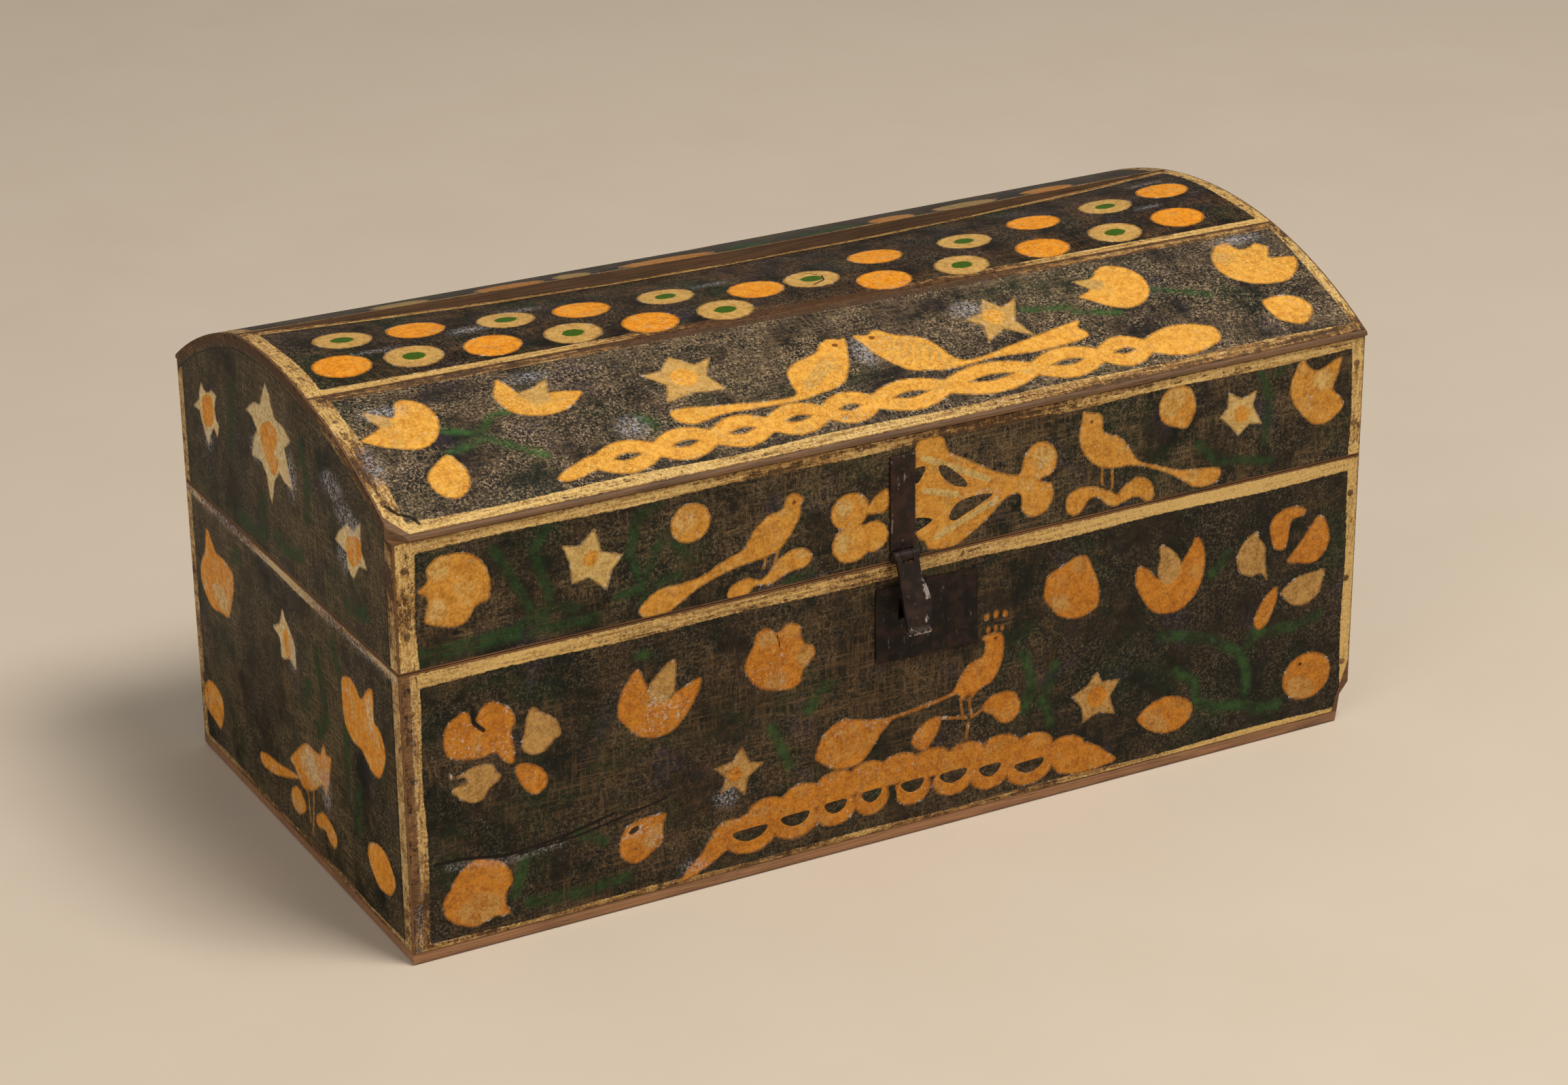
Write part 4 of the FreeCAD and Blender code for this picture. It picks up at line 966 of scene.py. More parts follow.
    # disc, star and tulip at the right
    painting.shape("orange", [
        (128, 179), (131, 186), (139, 188), (145, 185.6), (148, 178), (147, 171.7), (143.3, 167.2),
        (137.8, 168.3), (130.6, 172)])
    painting.shape("tint", [(129, 178), (132, 185), (139, 187), (141, 181), (136, 174)])
    painting.star(
        [(165.3, 179.7), (181.1, 178.1), (184.2, 161.1), (171.5, 157.5), (161, 168.3)],
        [(173, 175.3), (179, 170.9), (177.5, 162), (167.2, 162.5), (165, 172)],
        (172.8, 167.8), heart=4.2)
    painting.shape("orange", [
        (205.5, 188), (209.4, 183.3), (214, 181), (218.9, 182.6), (226.8, 185.4), (225.6, 177.8),
        (223, 170.6), (227.2, 165.6), (229.2, 161), (225.6, 157), (220, 154.2), (214, 154.4),
        (209, 157.8), (204.4, 162.8), (200.6, 168.3), (199, 175), (201, 182.2)])
    painting.disc("tint", (217, 176), 6, 5)
    painting.strokes(
        "green", 4.0, [(-178, 142), (-182, 156), (-190, 170), (-196, 182)],
        [(-174, 142), (-172, 158), (-178, 176), (-172, 186)],
        [(-128, 142), (-126, 158), (-118, 172), (-108, 160)],
        [(-128, 150), (-134, 166), (-130, 182), (-120, 186)],
        [(-160, 148), (-170, 150), (-184, 146)], [(-140, 148), (-128, 150), (-112, 152)],
        [(-230, 139), (-190, 141), (-150, 141)], [(-230, 142.5), (-180, 144)],
        [(183, 186), (188, 172), (186, 152)], [(150, 158), (160, 148), (190, 142)],
        [(192, 184), (196, 188)], [(-48, 138), (-60, 137)])
    painting.disc("dark", (-214, 148.5), 1.4, 1.2)
    painting.wear(
        ((40, 180), 40, 0.08), ((-60, 185), 40, 0.06), ((-236, 165), 12, 0.06),
        ((213, 166), 8, 0.1), ((30, 160), 30, 0.05))


rail_finish = painted_finish(
    "painted_rail", GROUND, paint(116, 92, 60), (paint(170, 110, 36), paint(218, 154, 62)),
    (paint(166, 130, 68), paint(214, 180, 112)), (paint(164, 122, 62), paint(222, 186, 116)),
    speckle=0.25)
painted_skin("lid_front_paint", "lid", rail_finish, columns=640, rows=96,
             spread=between(-HALF + MARGIN, HALF - MARGIN,
                            RAIL_LOW[2] + MARGIN, RAIL_HIGH[2] - MARGIN),
             press=on_face("y", FRONT, -1), artwork=paint_lid_rail)


# Paint on the barrel planks: the front plank has tulips, stars and two birds over a
# twisted chain, the top plank two rows of discs. The planks taper and are warped,
# so the paint follows the same lifted arcs as the wood.

BARREL_HALF_CHORD = -limits("dome_front_board")[0][1]
BARREL_RISE = 34.5
NOSE = 1.5
BARREL_RADIUS = (BARREL_HALF_CHORD ** 2 + BARREL_RISE ** 2) / (2 * BARREL_RISE)
BARREL_CENTRE = RAIL_HIGH[2] + NOSE + BARREL_RISE - BARREL_RADIUS
BARREL_FOOT = BARREL_RADIUS * math.asin(BARREL_HALF_CHORD / BARREL_RADIUS)
FRONT_SEAM = (-36.0, -46.0)
REAR_SEAM = 43.0
SEAM_EDGE = 0.45
NOSE_EDGE = 1.6
LIFT_LEFT, SAG_MIDDLE, WARP_BAYS = 4.5, 5.0, 8


def front_seam(across):
    """Where the front and top planks meet: a straight slant from left to right, as
    arc length from the crown."""
    return np.interp(across, (-HALF, HALF), FRONT_SEAM)


def rear_lift(across):
    """The top plank's rear edge: a parabola, straight between the saw-true bays."""
    station = np.linspace(-1, 1, WARP_BAYS + 1)
    bow = SAG_MIDDLE + LIFT_LEFT / 2
    lift = bow * station ** 2 - LIFT_LEFT / 2 * station - SAG_MIDDLE
    return np.interp(across / HALF, station, lift)


def on_barrel(lift):
    """Lays paint on the barrel: arc length over radius gives the angle from the crown,
    and the plank's own lift is added to the radius."""
    def press(across, around, proud):
        angle = around / BARREL_RADIUS
        radius = BARREL_RADIUS + lift(across, around) + proud
        return np.stack([across, radius * np.sin(angle),
                         BARREL_CENTRE + radius * np.cos(angle)], -1)
    return press


def flat_lift(across, around):
    """The front plank lies true on the barrel, wherever the point is."""
    return 0 * across


def top_lift(across, around):
    """The top plank is hinged on its front seam and lifts evenly to its rear edge."""
    front = front_seam(across)
    return rear_lift(across) * (around - front) / (REAR_SEAM - front)


def back_lift(across, around):
    """The back plank stands up at its left front corner, falling evenly both ways."""
    left = LIFT_LEFT * np.clip(-across / HALF, 0, 1)
    return left * (BARREL_FOOT - around) / (BARREL_FOOT - REAR_SEAM)


BARREL_ROWS = 128
CHIP_ROWS = (0, RIM_STEP)
CHIP_WIDTHS = (7.6, 0)
STRAND, SWING = 7.8, 5.4
CHAIN_CREST, CHAIN_SLACK = (10, -110.2), 120


def twisted_chain(painting, crossings):
    """Two strands twisted round each other: between two crossings each swings out
    by a half sine, to one side and then to the other. Their middle line sinks from
    the crest by the square of the distance over the slack."""
    share = np.linspace(0, 1, 13)[:-1]
    for side in (-1, 1):
        strand = []
        for count, (start, end) in enumerate(zip(crossings, crossings[1:])):
            across = start + (end - start) * share
            middle = CHAIN_CREST[1] - ((across - CHAIN_CREST[0]) / CHAIN_SLACK) ** 2
            swing = side * (-1) ** count * SWING * np.sin(math.pi * share)
            strand.append(np.stack([across, middle + swing], -1))
        painting.stroke("orange", np.concatenate(strand), STRAND)


def paint_front_plank(painting):
    """The figures, in millimetres across from the middle and round from the crown."""
    bands(painting, (-HALF, 8.8), (HALF, 6.0), (-BARREL_FOOT + 1.2, 6.4), None)
    below_seam = front_seam(painting.across) - painting.up
    painting.lay("band", below_seam - 5.2)
    painting.lay("bare", below_seam - 1.0)
    middle = np.exp(-((painting.across + 10) / 80) ** 2)
    painting.fray(below_seam - 3, 7.0, 0.1 * middle + 0.06)
    rightward = np.clip(painting.across / 120, 0, 1)
    painting.fray(painting.up + BARREL_FOOT, 8.0, 0.11 * rightward - 0.03)
    # left tulips and drop
    painting.shape("orange", [
        (-222, -54), (-217, -57), (-212, -61), (-209, -56), (-207, -51.5), (-202, -50.5),
        (-197, -54), (-194, -61), (-194, -68), (-197, -76), (-201, -81), (-207, -84), (-214, -83),
        (-222, -79.5), (-228, -75), (-231, -72), (-226, -69.5), (-220, -66), (-222, -60)])
    painting.shape("pale", [(-222, -55), (-216, -58), (-213, -66), (-219, -66), (-221.5, -60)])
    painting.shape("orange", [
        (-159, -49), (-163, -55), (-166, -62), (-165, -69), (-161, -75), (-154, -78.5),
        (-146, -79.5), (-139, -78), (-133, -74), (-128, -69), (-134, -66.5), (-142, -65),
        (-148, -66), (-154, -62), (-156, -55)])
    painting.shape("pale", [
        (-155, -62), (-148, -60), (-139.5, -56), (-141, -62), (-143, -69), (-150, -71)])
    painting.shape("orange", [
        (-200, -90), (-196.5, -96), (-195.5, -103), (-198, -110), (-204, -114.5), (-210, -113),
        (-213.5, -107), (-213, -100), (-208, -95)])
    painting.strokes(
        "green", 3.6, [(-195, -76), (-182, -82), (-172, -73), (-165, -72)],
        [(-182, -82), (-172, -92), (-160, -102)], [(-198, -90), (-182, -86)],
        [(87, -74), (108, -78)], [(110, -82), (129, -88)], [(152, -77), (177, -88)],
        [(-112, -92), (-108, -98)])
    # stars
    painting.star(
        [(-81.7, -57.2), (-64.4, -63), (-67.2, -86), (-97, -87), (-100, -66)],
        [(-73.3, -66), (-72, -75), (-83, -84), (-92, -76), (-90, -66)],
        (-82, -73), heart=6.0)
    painting.star(
        [(73.3, -60.5), (88.5, -64.5), (83.5, -92), (60, -90), (57, -73)],
        [(78.5, -69), (80, -80), (72, -84), (63.5, -79), (67, -70)],
        (71.7, -74.5), heart=5.4)
    # two birds
    painting.shape("orange", [
        (-1, -69), (-4.4, -78.3), (-7.8, -86), (-13.3, -94), (-19, -97.8), (-28, -99.4),
        (-36.7, -101), (-56.7, -100.8), (-75.6, -99.8), (-90, -102), (-98, -98), (-98, -92),
        (-90, -91.4), (-79, -93.5), (-68, -95), (-56.7, -97), (-41, -97.5), (-39.4, -91.7),
        (-38.3, -85), (-34.4, -80), (-28, -77), (-19, -74.4), (-14, -69.4), (-9, -67),
        (-4.4, -68.6)])
    painting.disc("red", (-7.8, -72.2), 1.5, 1.3)
    painting.shape("orange", [
        (2.6, -68.2), (9.4, -69.4), (13.3, -67.2), (16.7, -68.3), (21, -72.5), (28, -75.8),
        (33.3, -79), (37.2, -86), (39.4, -93), (44, -97.3), (54.4, -97), (70, -94), (85.6, -91.2),
        (96.7, -89), (108.4, -87.6), (105.5, -92), (108, -96), (104.4, -99.6), (80, -101.4),
        (60, -99.8), (34.4, -101), (25.6, -99.4), (16.7, -96.7), (10, -89.4), (6, -81.7),
        (4.4, -75)])
    painting.disc("red", (10.6, -72.2), 1.5, 1.3)
    # right tulips and drop
    painting.shape("orange", [
        (120.6, -61.7), (130, -61.7), (135.6, -56.7), (141.7, -54.4), (149, -57.8), (153.3, -64),
        (154, -71.7), (151, -79.4), (144.4, -85), (135.6, -86.7), (126.7, -82.8), (121, -77.2),
        (117, -72.8), (125, -69)])
    painting.shape("pale", [(121, -62), (130, -62.5), (134, -66), (130, -71), (124, -68)])
    painting.shape("orange", [
        (202, -56), (208, -56), (210, -62), (215.6, -62), (221, -60), (225, -65), (221, -71.7),
        (226.7, -73.3), (233, -75), (230.6, -81.7), (223.3, -88.3), (215.6, -90), (203.3, -87.8),
        (194.4, -81.7), (191.4, -74), (193.3, -65), (197.8, -59.4)])
    painting.disc("tint", (199, -66), 5, 5)
    painting.shape("orange", [
        (199, -100.6), (203.3, -98), (212, -98), (219, -101.7), (221.7, -108.3), (217.8, -114),
        (212, -117), (205.6, -115), (200.6, -110.6)])
    for count in range(6):
        across, up = 18 + 3.4 * count, -77.5 - 2.6 * count
        painting.stroke("pale", [(across - 3, up - 5), (across, up), (across - 1, up + 5)], 1.0)
    for drop in (0, 4.5, 9, 13):
        painting.stroke("pale", [
            (-34, -92 - drop / 3), (-26, -86 - drop / 2), (-17, -79 - drop / 2),
            (-12, -77 - drop)], 1.0)
    # pale patches: painted glints on the varnish, with whitish scuffs
    painting.discs(
        "pale_scuff_and_glint", ((-214, -57), 9, 3.5), ((-146, -52), 9, 3), ((-118, -96), 7, 6), ((62, -66), 7, 5),
        ((214, -55), 10, 3), ((2, -80), 4, 8), ((-232, -88), 3, 9))
    painting.shape("orange", [
        (-161, -115), (-152, -110), (-141, -107), (-139, -113.5), (-148, -117), (-158, -118)])
    painting.disc("orange", (150, -112), 19, 4.2, 0.04)
    twisted_chain(painting, (-141, -113, -86, -59, -32, -8, 28, 73, 107, 131, 168))
    painting.stroke("dark", [(-236, -111), (-233, -116), (-228, -119), (-226, -123)], 1.6)
    painting.wear(
        ((-118, -96), 8, 0.2), ((-232, -88), 12, 0.14), ((-30, -58), 60, 0.06),
        ((70, -60), 40, 0.05))


BACK_DISCS = ((-203, 12.6), (-169.5, 11.2), (-129.4, 5.1), (-94.7, 1.3), (-54.3, -0.8),
              (-15.3, -12.7), (12.9, -12.9), (53.1, 0.4), (98.4, -2.8), (139.6, 3.5),
              (180, 4.8), (214.7, 9.2))
FRONT_DISCS = ((-214.6, -14.6), (-182.5, -17), (-147.2, -20.3), (-110.3, -22.8),
               (-74.7, -26.5), (-38.8, -28.2), (41.2, -29), (81.4, -29.4), (125, -28.3),
               (164.8, -27.3), (201, -24.7))
DISC_HALVES = (13.2, 10.6)
SPOT_HALVES = (5.2, 3.6)


def roundel(painting, place, green):
    """One of the discs: plain orange, or pale with a green middle."""
    painting.disc("pale" if green else "orange", place, *DISC_HALVES)
    if green:
        painting.disc("spot", place, *SPOT_HALVES)


def paint_top_plank(painting):
    """Two rows of discs, orange and pale by turns, between bands worn at the seams."""
    across, up = painting.across, painting.up
    bands(painting, (-HALF, 8.0), (HALF, 6.5), None, (REAR_SEAM, 6.0))
    above_seam = up - front_seam(across)
    painting.lay("band", above_seam - 5.0)
    painting.lay("bare", above_seam - ARRIS)
    middle = np.exp(-(across / 90) ** 2)
    painting.fray(above_seam - 2, 7.0, 0.18 * middle - 0.02)
    painting.fray(up - REAR_SEAM, 6.0, 0.05)
    # pale patches: whitish scuffs and painted glints
    painting.discs(
        "pale_scuff_and_glint", ((-150, 0), 7, 3), ((-118, 15), 7, 2), ((-30, 4), 6, 1), ((-196, -6), 7, 1),
        ((196, -8), 4, 1), ((214, 24), 6, 1))
    for discs, first_pale in ((BACK_DISCS, 0), (FRONT_DISCS, 1)):
        for count, place in enumerate(discs):
            roundel(painting, place, count % 2 == first_pale)
    painting.stroke("dark", [(14, -4), (19, -11), (17, -17), (10, -20)], 0.9)


def paint_back_plank(painting):
    """Broad dabs by the rear seam and a row of discs, guessed from what shows."""
    bands(painting, (-HALF, 8), (HALF, 7), (REAR_SEAM, 1.5), (BARREL_FOOT, 8))
    for colour, across, wide in (("orange", -107, 17), ("pale", -76, 9), ("orange", -28, 24),
                                 ("green", 14, 10), ("green", 58, 16), ("orange", 90, 12),
                                 ("pale", 130, 17), ("orange", 176, 14), ("pale", -160, 14)):
        painting.disc(colour, (across, 50), wide, 8)
    for count in range(11):
        roundel(painting, (-200 + 40 * count, 90), count % 2 == 0)


CREAM = (paint(166, 126, 62), paint(210, 166, 94))
# The barrel's and top plank's orange and cream are brighter than the front's: painted light where
# they face up towards the light.
dome_finish = painted_finish(
    "painted_front_plank", (paint(18, 20, 16), paint(44, 35, 30)), paint(134, 110, 80),
    (paint(200, 130, 40), paint(238, 178, 76)), CREAM,
    (paint(148, 108, 56), paint(222, 184, 112)), across=(1, 0.2, 0.3), speckle=0.9,
    rubbed_share=0.6, craze=0.05, leaves=(paint(34, 62, 26), paint(62, 100, 46)), sheen=0.1)
top_finish = painted_finish(
    "painted_top_plank", (paint(16, 14, 11), paint(38, 27, 18)), paint(108, 76, 46),
    (paint(204, 118, 20), paint(240, 158, 42)), CREAM,
    (paint(146, 104, 56), paint(212, 172, 100)), across=(1, 0.1, 1), speckle=0.25,
    sheen=0.04)
back_plank_finish = painted_finish(
    "painted_back_plank", (paint(20, 18, 14), paint(38, 29, 20)), paint(84, 64, 44),
    (paint(134, 84, 34), paint(176, 118, 52)), (paint(120, 98, 56), paint(156, 126, 76)),
    (paint(112, 82, 46), paint(168, 134, 80)), across=(1, 0.1, 1), sheen=0.05)
painted_skin("front_plank_paint", "lid", dome_finish, columns=620, rows=BARREL_ROWS,
             spread=between(broken(-HALF + MARGIN, BARREL_ROWS, CHIP_ROWS, CHIP_WIDTHS),
                            HALF - MARGIN, NOSE_EDGE - BARREL_FOOT,
                            lambda across: front_seam(across) - SEAM_EDGE),
             press=on_barrel(flat_lift), artwork=paint_front_plank)
painted_skin("top_plank_paint", "lid", top_finish, columns=600, rows=112,
             spread=between(-HALF + MARGIN, HALF - MARGIN,
                            lambda across: front_seam(across) + SEAM_EDGE,
                            REAR_SEAM - SEAM_EDGE),
             press=on_barrel(top_lift), artwork=paint_top_plank)
painted_skin("back_plank_paint", "lid", back_plank_finish, columns=480, rows=96,
             spread=between(-HALF + MARGIN, HALF - MARGIN, REAR_SEAM + SEAM_EDGE,
                            BARREL_FOOT - NOSE_EDGE),
             press=on_barrel(back_lift), artwork=paint_back_plank)


# Paint on the two ends, over the end boards and the end grain of the boards lapped
# on them: an olive ground with tulips, stars and a bird, framed by worn ochre.

BOARD = 9.0
PLANK = 6.5
END_HALF = BARREL_HALF_CHORD - 2.0
END_ARRIS = 1.4
BROKEN_CORNER = 6.5
JOINT = 0.7


def arch(side):
    """The outer line of the barrel at one end: the plank's lifted circle."""
    x = side * HALF

    def height(across):
        around = BARREL_RADIUS * np.arcsin(across / BARREL_RADIUS)
        front, lift = np.interp(x, (-HALF, HALF), FRONT_SEAM), rear_lift(x)
        lifted = np.interp(around, (front, REAR_SEAM, BARREL_FOOT), (0, lift, 0))
        return BARREL_CENTRE + np.sqrt((BARREL_RADIUS + lifted) ** 2 - across ** 2)
    return height


def lid_end_top(side):
    """The arch, less a margin, and down to the rail where the corner is broken."""
    def height(across):
        top = arch(side)(across) - MARGIN
        if side < 0:
            top = np.where(across < -END_HALF + BROKEN_CORNER, RAIL_HIGH[2] - MARGIN, top)
        return top
    return height


def lapped_joints(painting, low, high):
    """Ochre on the front and back boards' end grain, and the dark joints beside it."""
    across = painting.across
    for side, width in ((-1, 8.2), (1, 7.0)):
        inward = END_HALF + 1.3 - side * across
        painting.lay("band", inward - width)
        painting.lay("bare", inward - END_ARRIS)
        painting.upright = np.where(inward < width, 1.0, painting.upright)
        joint = side * (END_HALF + 0.8 - BOARD)
        painting.stroke("dark", [(joint, low), (joint, high)], JOINT)


def paint_base_end(painting):
    """The figures, in millimetres back from the middle and up from the floor."""
    bands(painting, None, None, (BASE_LOW[2] - 1, 4.6), (BASE_HIGH[2], 4.4))
    ridge = BASE_HIGH[2] - 2.2
    # a pale line along the top edge: whitish wear and a painted highlight
    painting.stroke("pale_scuff_and_glint", [(-116, ridge), (116, ridge)], 4.6)
    lapped_joints(painting, BASE_LOW[2], BASE_HIGH[2])
    painting.shape("orange", [
        (-58, 108), (-66, 112), (-73, 110.6), (-78.5, 107), (-86, 114.3), (-92, 116.4),
        (-92.5, 110), (-92.3, 102.5), (-98.6, 99.7), (-102.6, 93), (-101.7, 86), (-95, 76.7),
        (-87, 76), (-81, 79), (-76, 82), (-67.6, 82), (-60.4, 85.7), (-57.5, 92), (-57, 100)])
    painting.disc("tint", (-88, 104), 4, 8)
    painting.shape("orange", [
        (98, 119), (92, 115.3), (87, 111), (78, 111.3), (68.3, 109), (66.5, 103), (69.3, 95),
        (76, 83), (84.7, 81.6), (97, 79.6), (105, 83.4), (110, 90), (108, 98.7), (102.4, 106)])
    painting.disc("tint", (84, 90), 10, 6)
    painting.shape("pale", [
        (7.7, 114.5), (4, 110.4), (-1, 106.7), (-5.4, 100.7), (-4.6, 90), (1.6, 92.3), (11.5, 89),
        (12.9, 98), (20, 101), (11.5, 106.4)])
    painting.disc("heart", (4, 99), 4.0, 7.0)
    # a pale patch: whitish scuff and painted glint
    painting.disc("pale_scuff_and_glint", (-2, 96), 4, 7)
    painting.shape("orange", [
        (107.5, 39), (98.5, 38.6), (92, 34), (93, 25), (97.8, 17.8), (105, 19), (113.6, 21.4),
        (117, 27.3), (114, 35)])
    painting.shape("orange", [
        (-79.6, 39.6), (-90, 43), (-97.5, 42), (-104, 36.3), (-106, 31.6), (-102, 25), (-96, 22),
        (-87.4, 21.8), (-80.5, 26.4), (-76.7, 32.6)])
    painting.shape("orange", [
        (47, 28), (36, 31.2), (25, 32), (10.6, 34.7), (-0.6, 36), (5.5, 32.3), (26, 25),
        (37.5, 22.6), (46, 22.8)])
    painting.shape("orange", [
        (9.6, 41), (-3, 52), (-12, 57.7), (-20, 58), (-27, 59), (-32, 65.6), (-35, 62),
        (-40.6, 62.6), (-37.8, 53.6), (-36, 48), (-32, 39.6), (-28.5, 43.8), (-17, 36.3),
        (-5.4, 32.4), (0, 34.8), (4.5, 38.5)])
    painting.disc("tint", (-16, 48), 12, 8)
    # a pale patch: whitish scuff and painted glint
    painting.disc("pale_scuff_and_glint", (-32, 46), 5, 12)
    painting.strokes("orange", 1.5, [(-17, 36), (-13, 13)], [(-10, 34), (-11, 19)])
    painting.shape("orange", [
        (10.7, 25), (3, 30), (-3.4, 28), (-6.6, 22.6), (2.5, 16), (10.4, 18.4)])
    painting.shape("orange", [
        (-17.6, 24), (-26.6, 30.3), (-34.4, 29.2), (-41.6, 24.5), (-39.4, 18), (-32.8, 18),
        (-28, 21.8), (-19.8, 20)])
    painting.strokes(
        "green", 7.0, [(-50, 120), (-62, 96), (-56, 50)], [(-30, 110), (-38, 80), (-28, 70)],
        [(-20, 90), (-10, 75)], [(-70, 60), (-66, 40)], [(60, 120), (66, 116)])
    painting.wear(
        ((-24, 48), 24, 0.1), ((84, 90), 16, 0.08), ((0, 6), 110, 0.08), ((-40, 90), 36, 0.12),
        ((40, 60), 34, -0.12), ((70, 120), 30, 0.1), ((-80, 50), 30, -0.12), ((0, 130), 30, -0.1))


def paint_lid_end(side):
    """The lid's end: a band under the arch, the planks' joints, and three stars, in
    millimetres back from the middle and up from the floor."""
    def artwork(painting):
        across, up = painting.across, painting.up
        lapped_joints(painting, RAIL_LOW[2], RAIL_HIGH[2])
        inward = (arch(side)(across) - up) * np.cos(across / BARREL_RADIUS)
        painting.lay("band", inward - 5.0)
        painting.lay("bare", inward - END_ARRIS)
        painting.fray(inward - 3, 4.0, 0.12)
        painting.lay("dark", np.abs(inward - PLANK) - JOINT / 2)
        for around in (np.interp(side, (-1, 1), FRONT_SEAM), REAR_SEAM):
            place = BARREL_RADIUS * math.sin(around / BARREL_RADIUS)
            top = float(arch(side)(np.array(place)))
            painting.stroke("dark", [(place, top - PLANK), (place, top + 1)], 0.6)
        painting.shape("pale", [
            (-60, 172.7), (-64.5, 178), (-74, 185), (-81.4, 184.4), (-89.7, 191.7), (-88.7, 184),
            (-89, 178), (-94.4, 171.5), (-85.6, 169.7), (-78.4, 161), (-72.5, 164.2),
            (-72, 171)], smooth=False)
        painting.shape("heart", [
            (-71.7, 176.6), (-81, 182), (-88, 181.8), (-88, 174.3), (-79, 167.3), (-73.3, 169.8)])
        painting.shape("pale", [
            (10.4, 219), (6.3, 214.8), (4.2, 209.4), (1, 205.5), (-8.2, 205), (-16, 201), (-8, 195),
            (-10.3, 189.5), (-16, 178), (-5.5, 178.4), (0.3, 180.8), (6, 175), (10.8, 162),
            (14, 167), (15.4, 174), (20.8, 179), (32, 177.7), (29, 187), (24, 192.5), (29, 197),
            (36, 198), (26, 205), (18.6, 206.3), (14.3, 213.4)], smooth=False)
        painting.shape("heart", [
            (19.7, 195.3), (9.3, 201.4), (0.4, 199.5), (1.2, 194), (5.2, 188.4), (0.3, 185.8),
            (5.4, 177.7), (9.8, 179), (15.4, 183.6), (19, 189)])
        painting.shape("pale", [
            (91, 192.5), (87.8, 190), (83.7, 189.7), (77.3, 193), (72, 192), (75.4, 185), (74, 180),
            (71, 177.6), (74, 171), (78, 174.4), (83, 169), (86.4, 163), (89.6, 167), (93, 172),
            (95.3, 177), (103, 177), (95, 183), (94, 187)], smooth=False)
        painting.shape("heart", [
            (84, 188.7), (78, 188), (78.3, 177.6), (85, 172.7), (91, 173.3), (91.5, 180),
            (90.5, 184.5)])
        # pale patches round the stars: whitish scuffs and painted glints
        painting.discs(
            "pale_scuff_and_glint", ((-14, 184), 5, 10), ((-76, 187), 12, 6), ((-68, 168), 5, 6),
            ((86, 167), 5, 5), ((28, 182), 5, 5), ((-60, 196), 10, 6))
        painting.strokes(
            "green", 7.0, [(53, 203), (55, 188), (58, 172)], [(-26, 202), (-32, 190), (-30, 170)],
            [(8, 148), (-10, 146), (-20, 150)], [(52, 142), (36, 141), (20, 146)],
            [(-70, 146), (-90, 150)], [(20, 160), (26, 152)])
        painting.wear(
            ((0, 224), 60, 0.1), ((50, 170), 34, -0.12), ((-30, 160), 30, 0.12),
            ((-60, 200), 30, -0.1), ((-80, 176), 16, 0.06), ((-104, 176), 20, 0.1))
    return artwork


end_finish = painted_finish(
    "painted_end", (paint(15, 19, 12), paint(48, 40, 25)), paint(132, 110, 74),
    (paint(196, 116, 34), paint(236, 162, 56)), (paint(184, 144, 84), paint(234, 212, 160)),
    (paint(140, 102, 58), paint(204, 172, 112)), along=(1, 0.06, 1), rubbed_share=0.6,
    speckle=0.35, sheen=0.04)
broken_front = broken(-END_HALF, BASE_ROWS, FOOT_BREAK_ROWS, FOOT_BREAK_DEPTHS)
# Each end is spread so that its paint faces outward: back to front on the left, and
# front to back on the right, where the front edge is behind the broken foot.
for hand, side, start, end in (("left", -1, END_HALF, -END_HALF),
                               ("right", 1, broken_front, END_HALF)):
    painted_skin(f"base_{hand}_paint", "base", end_finish, columns=300, rows=BASE_ROWS,
                 spread=between(start, end, BASE_LOW[2] + MARGIN, BASE_HIGH[2] - MARGIN),
                 press=on_face("x", side * HALF, side), artwork=paint_base_end)
    painted_skin(f"lid_{hand}_paint", "lid", end_finish, columns=300, rows=112,
                 spread=between(-side * END_HALF, side * END_HALF, RAIL_LOW[2] + MARGIN,
                                lid_end_top(side)),
                 press=on_face("x", side * HALF, side), artwork=paint_lid_end(side))


# Paint on the back boards of the base and lid: the same oil paint laid straight on
# the wood, a plain dark ground with an ochre border and no figures.

BACK = limits("base_back_board")[1][1]


def paint_base_back(painting):
    """Bands on all four edges."""
    bands(painting, (-HALF, 8), (HALF, 7), (BASE_LOW[2] - 1, 5), (BASE_HIGH[2], 6))


def paint_lid_back(painting):
    """Bands on the sides and the top edge."""
    bands(painting, (-HALF, 8), (HALF, 7), None, (RAIL_HIGH[2], 5))


back_finish = painted_finish(
    "painted_back", (paint(34, 33, 26), paint(52, 42, 30)), paint(112, 84, 54),
    (paint(166, 100, 34), paint(206, 138, 50)), CREAM,
    (paint(132, 98, 58), paint(186, 150, 92)))
for name, body, rows, low, high, artwork in (
        ("base_back_paint", "base", 96, BASE_LOW, BASE_HIGH, paint_base_back),
        ("lid_back_paint", "lid", 48, RAIL_LOW, RAIL_HIGH, paint_lid_back)):
    painted_skin(name, body, back_finish, columns=320, rows=rows,
                 spread=between(HALF - MARGIN, -HALF + MARGIN, low[2] + MARGIN, high[2] - MARGIN),
                 press=on_face("y", BACK, 1), artwork=artwork)
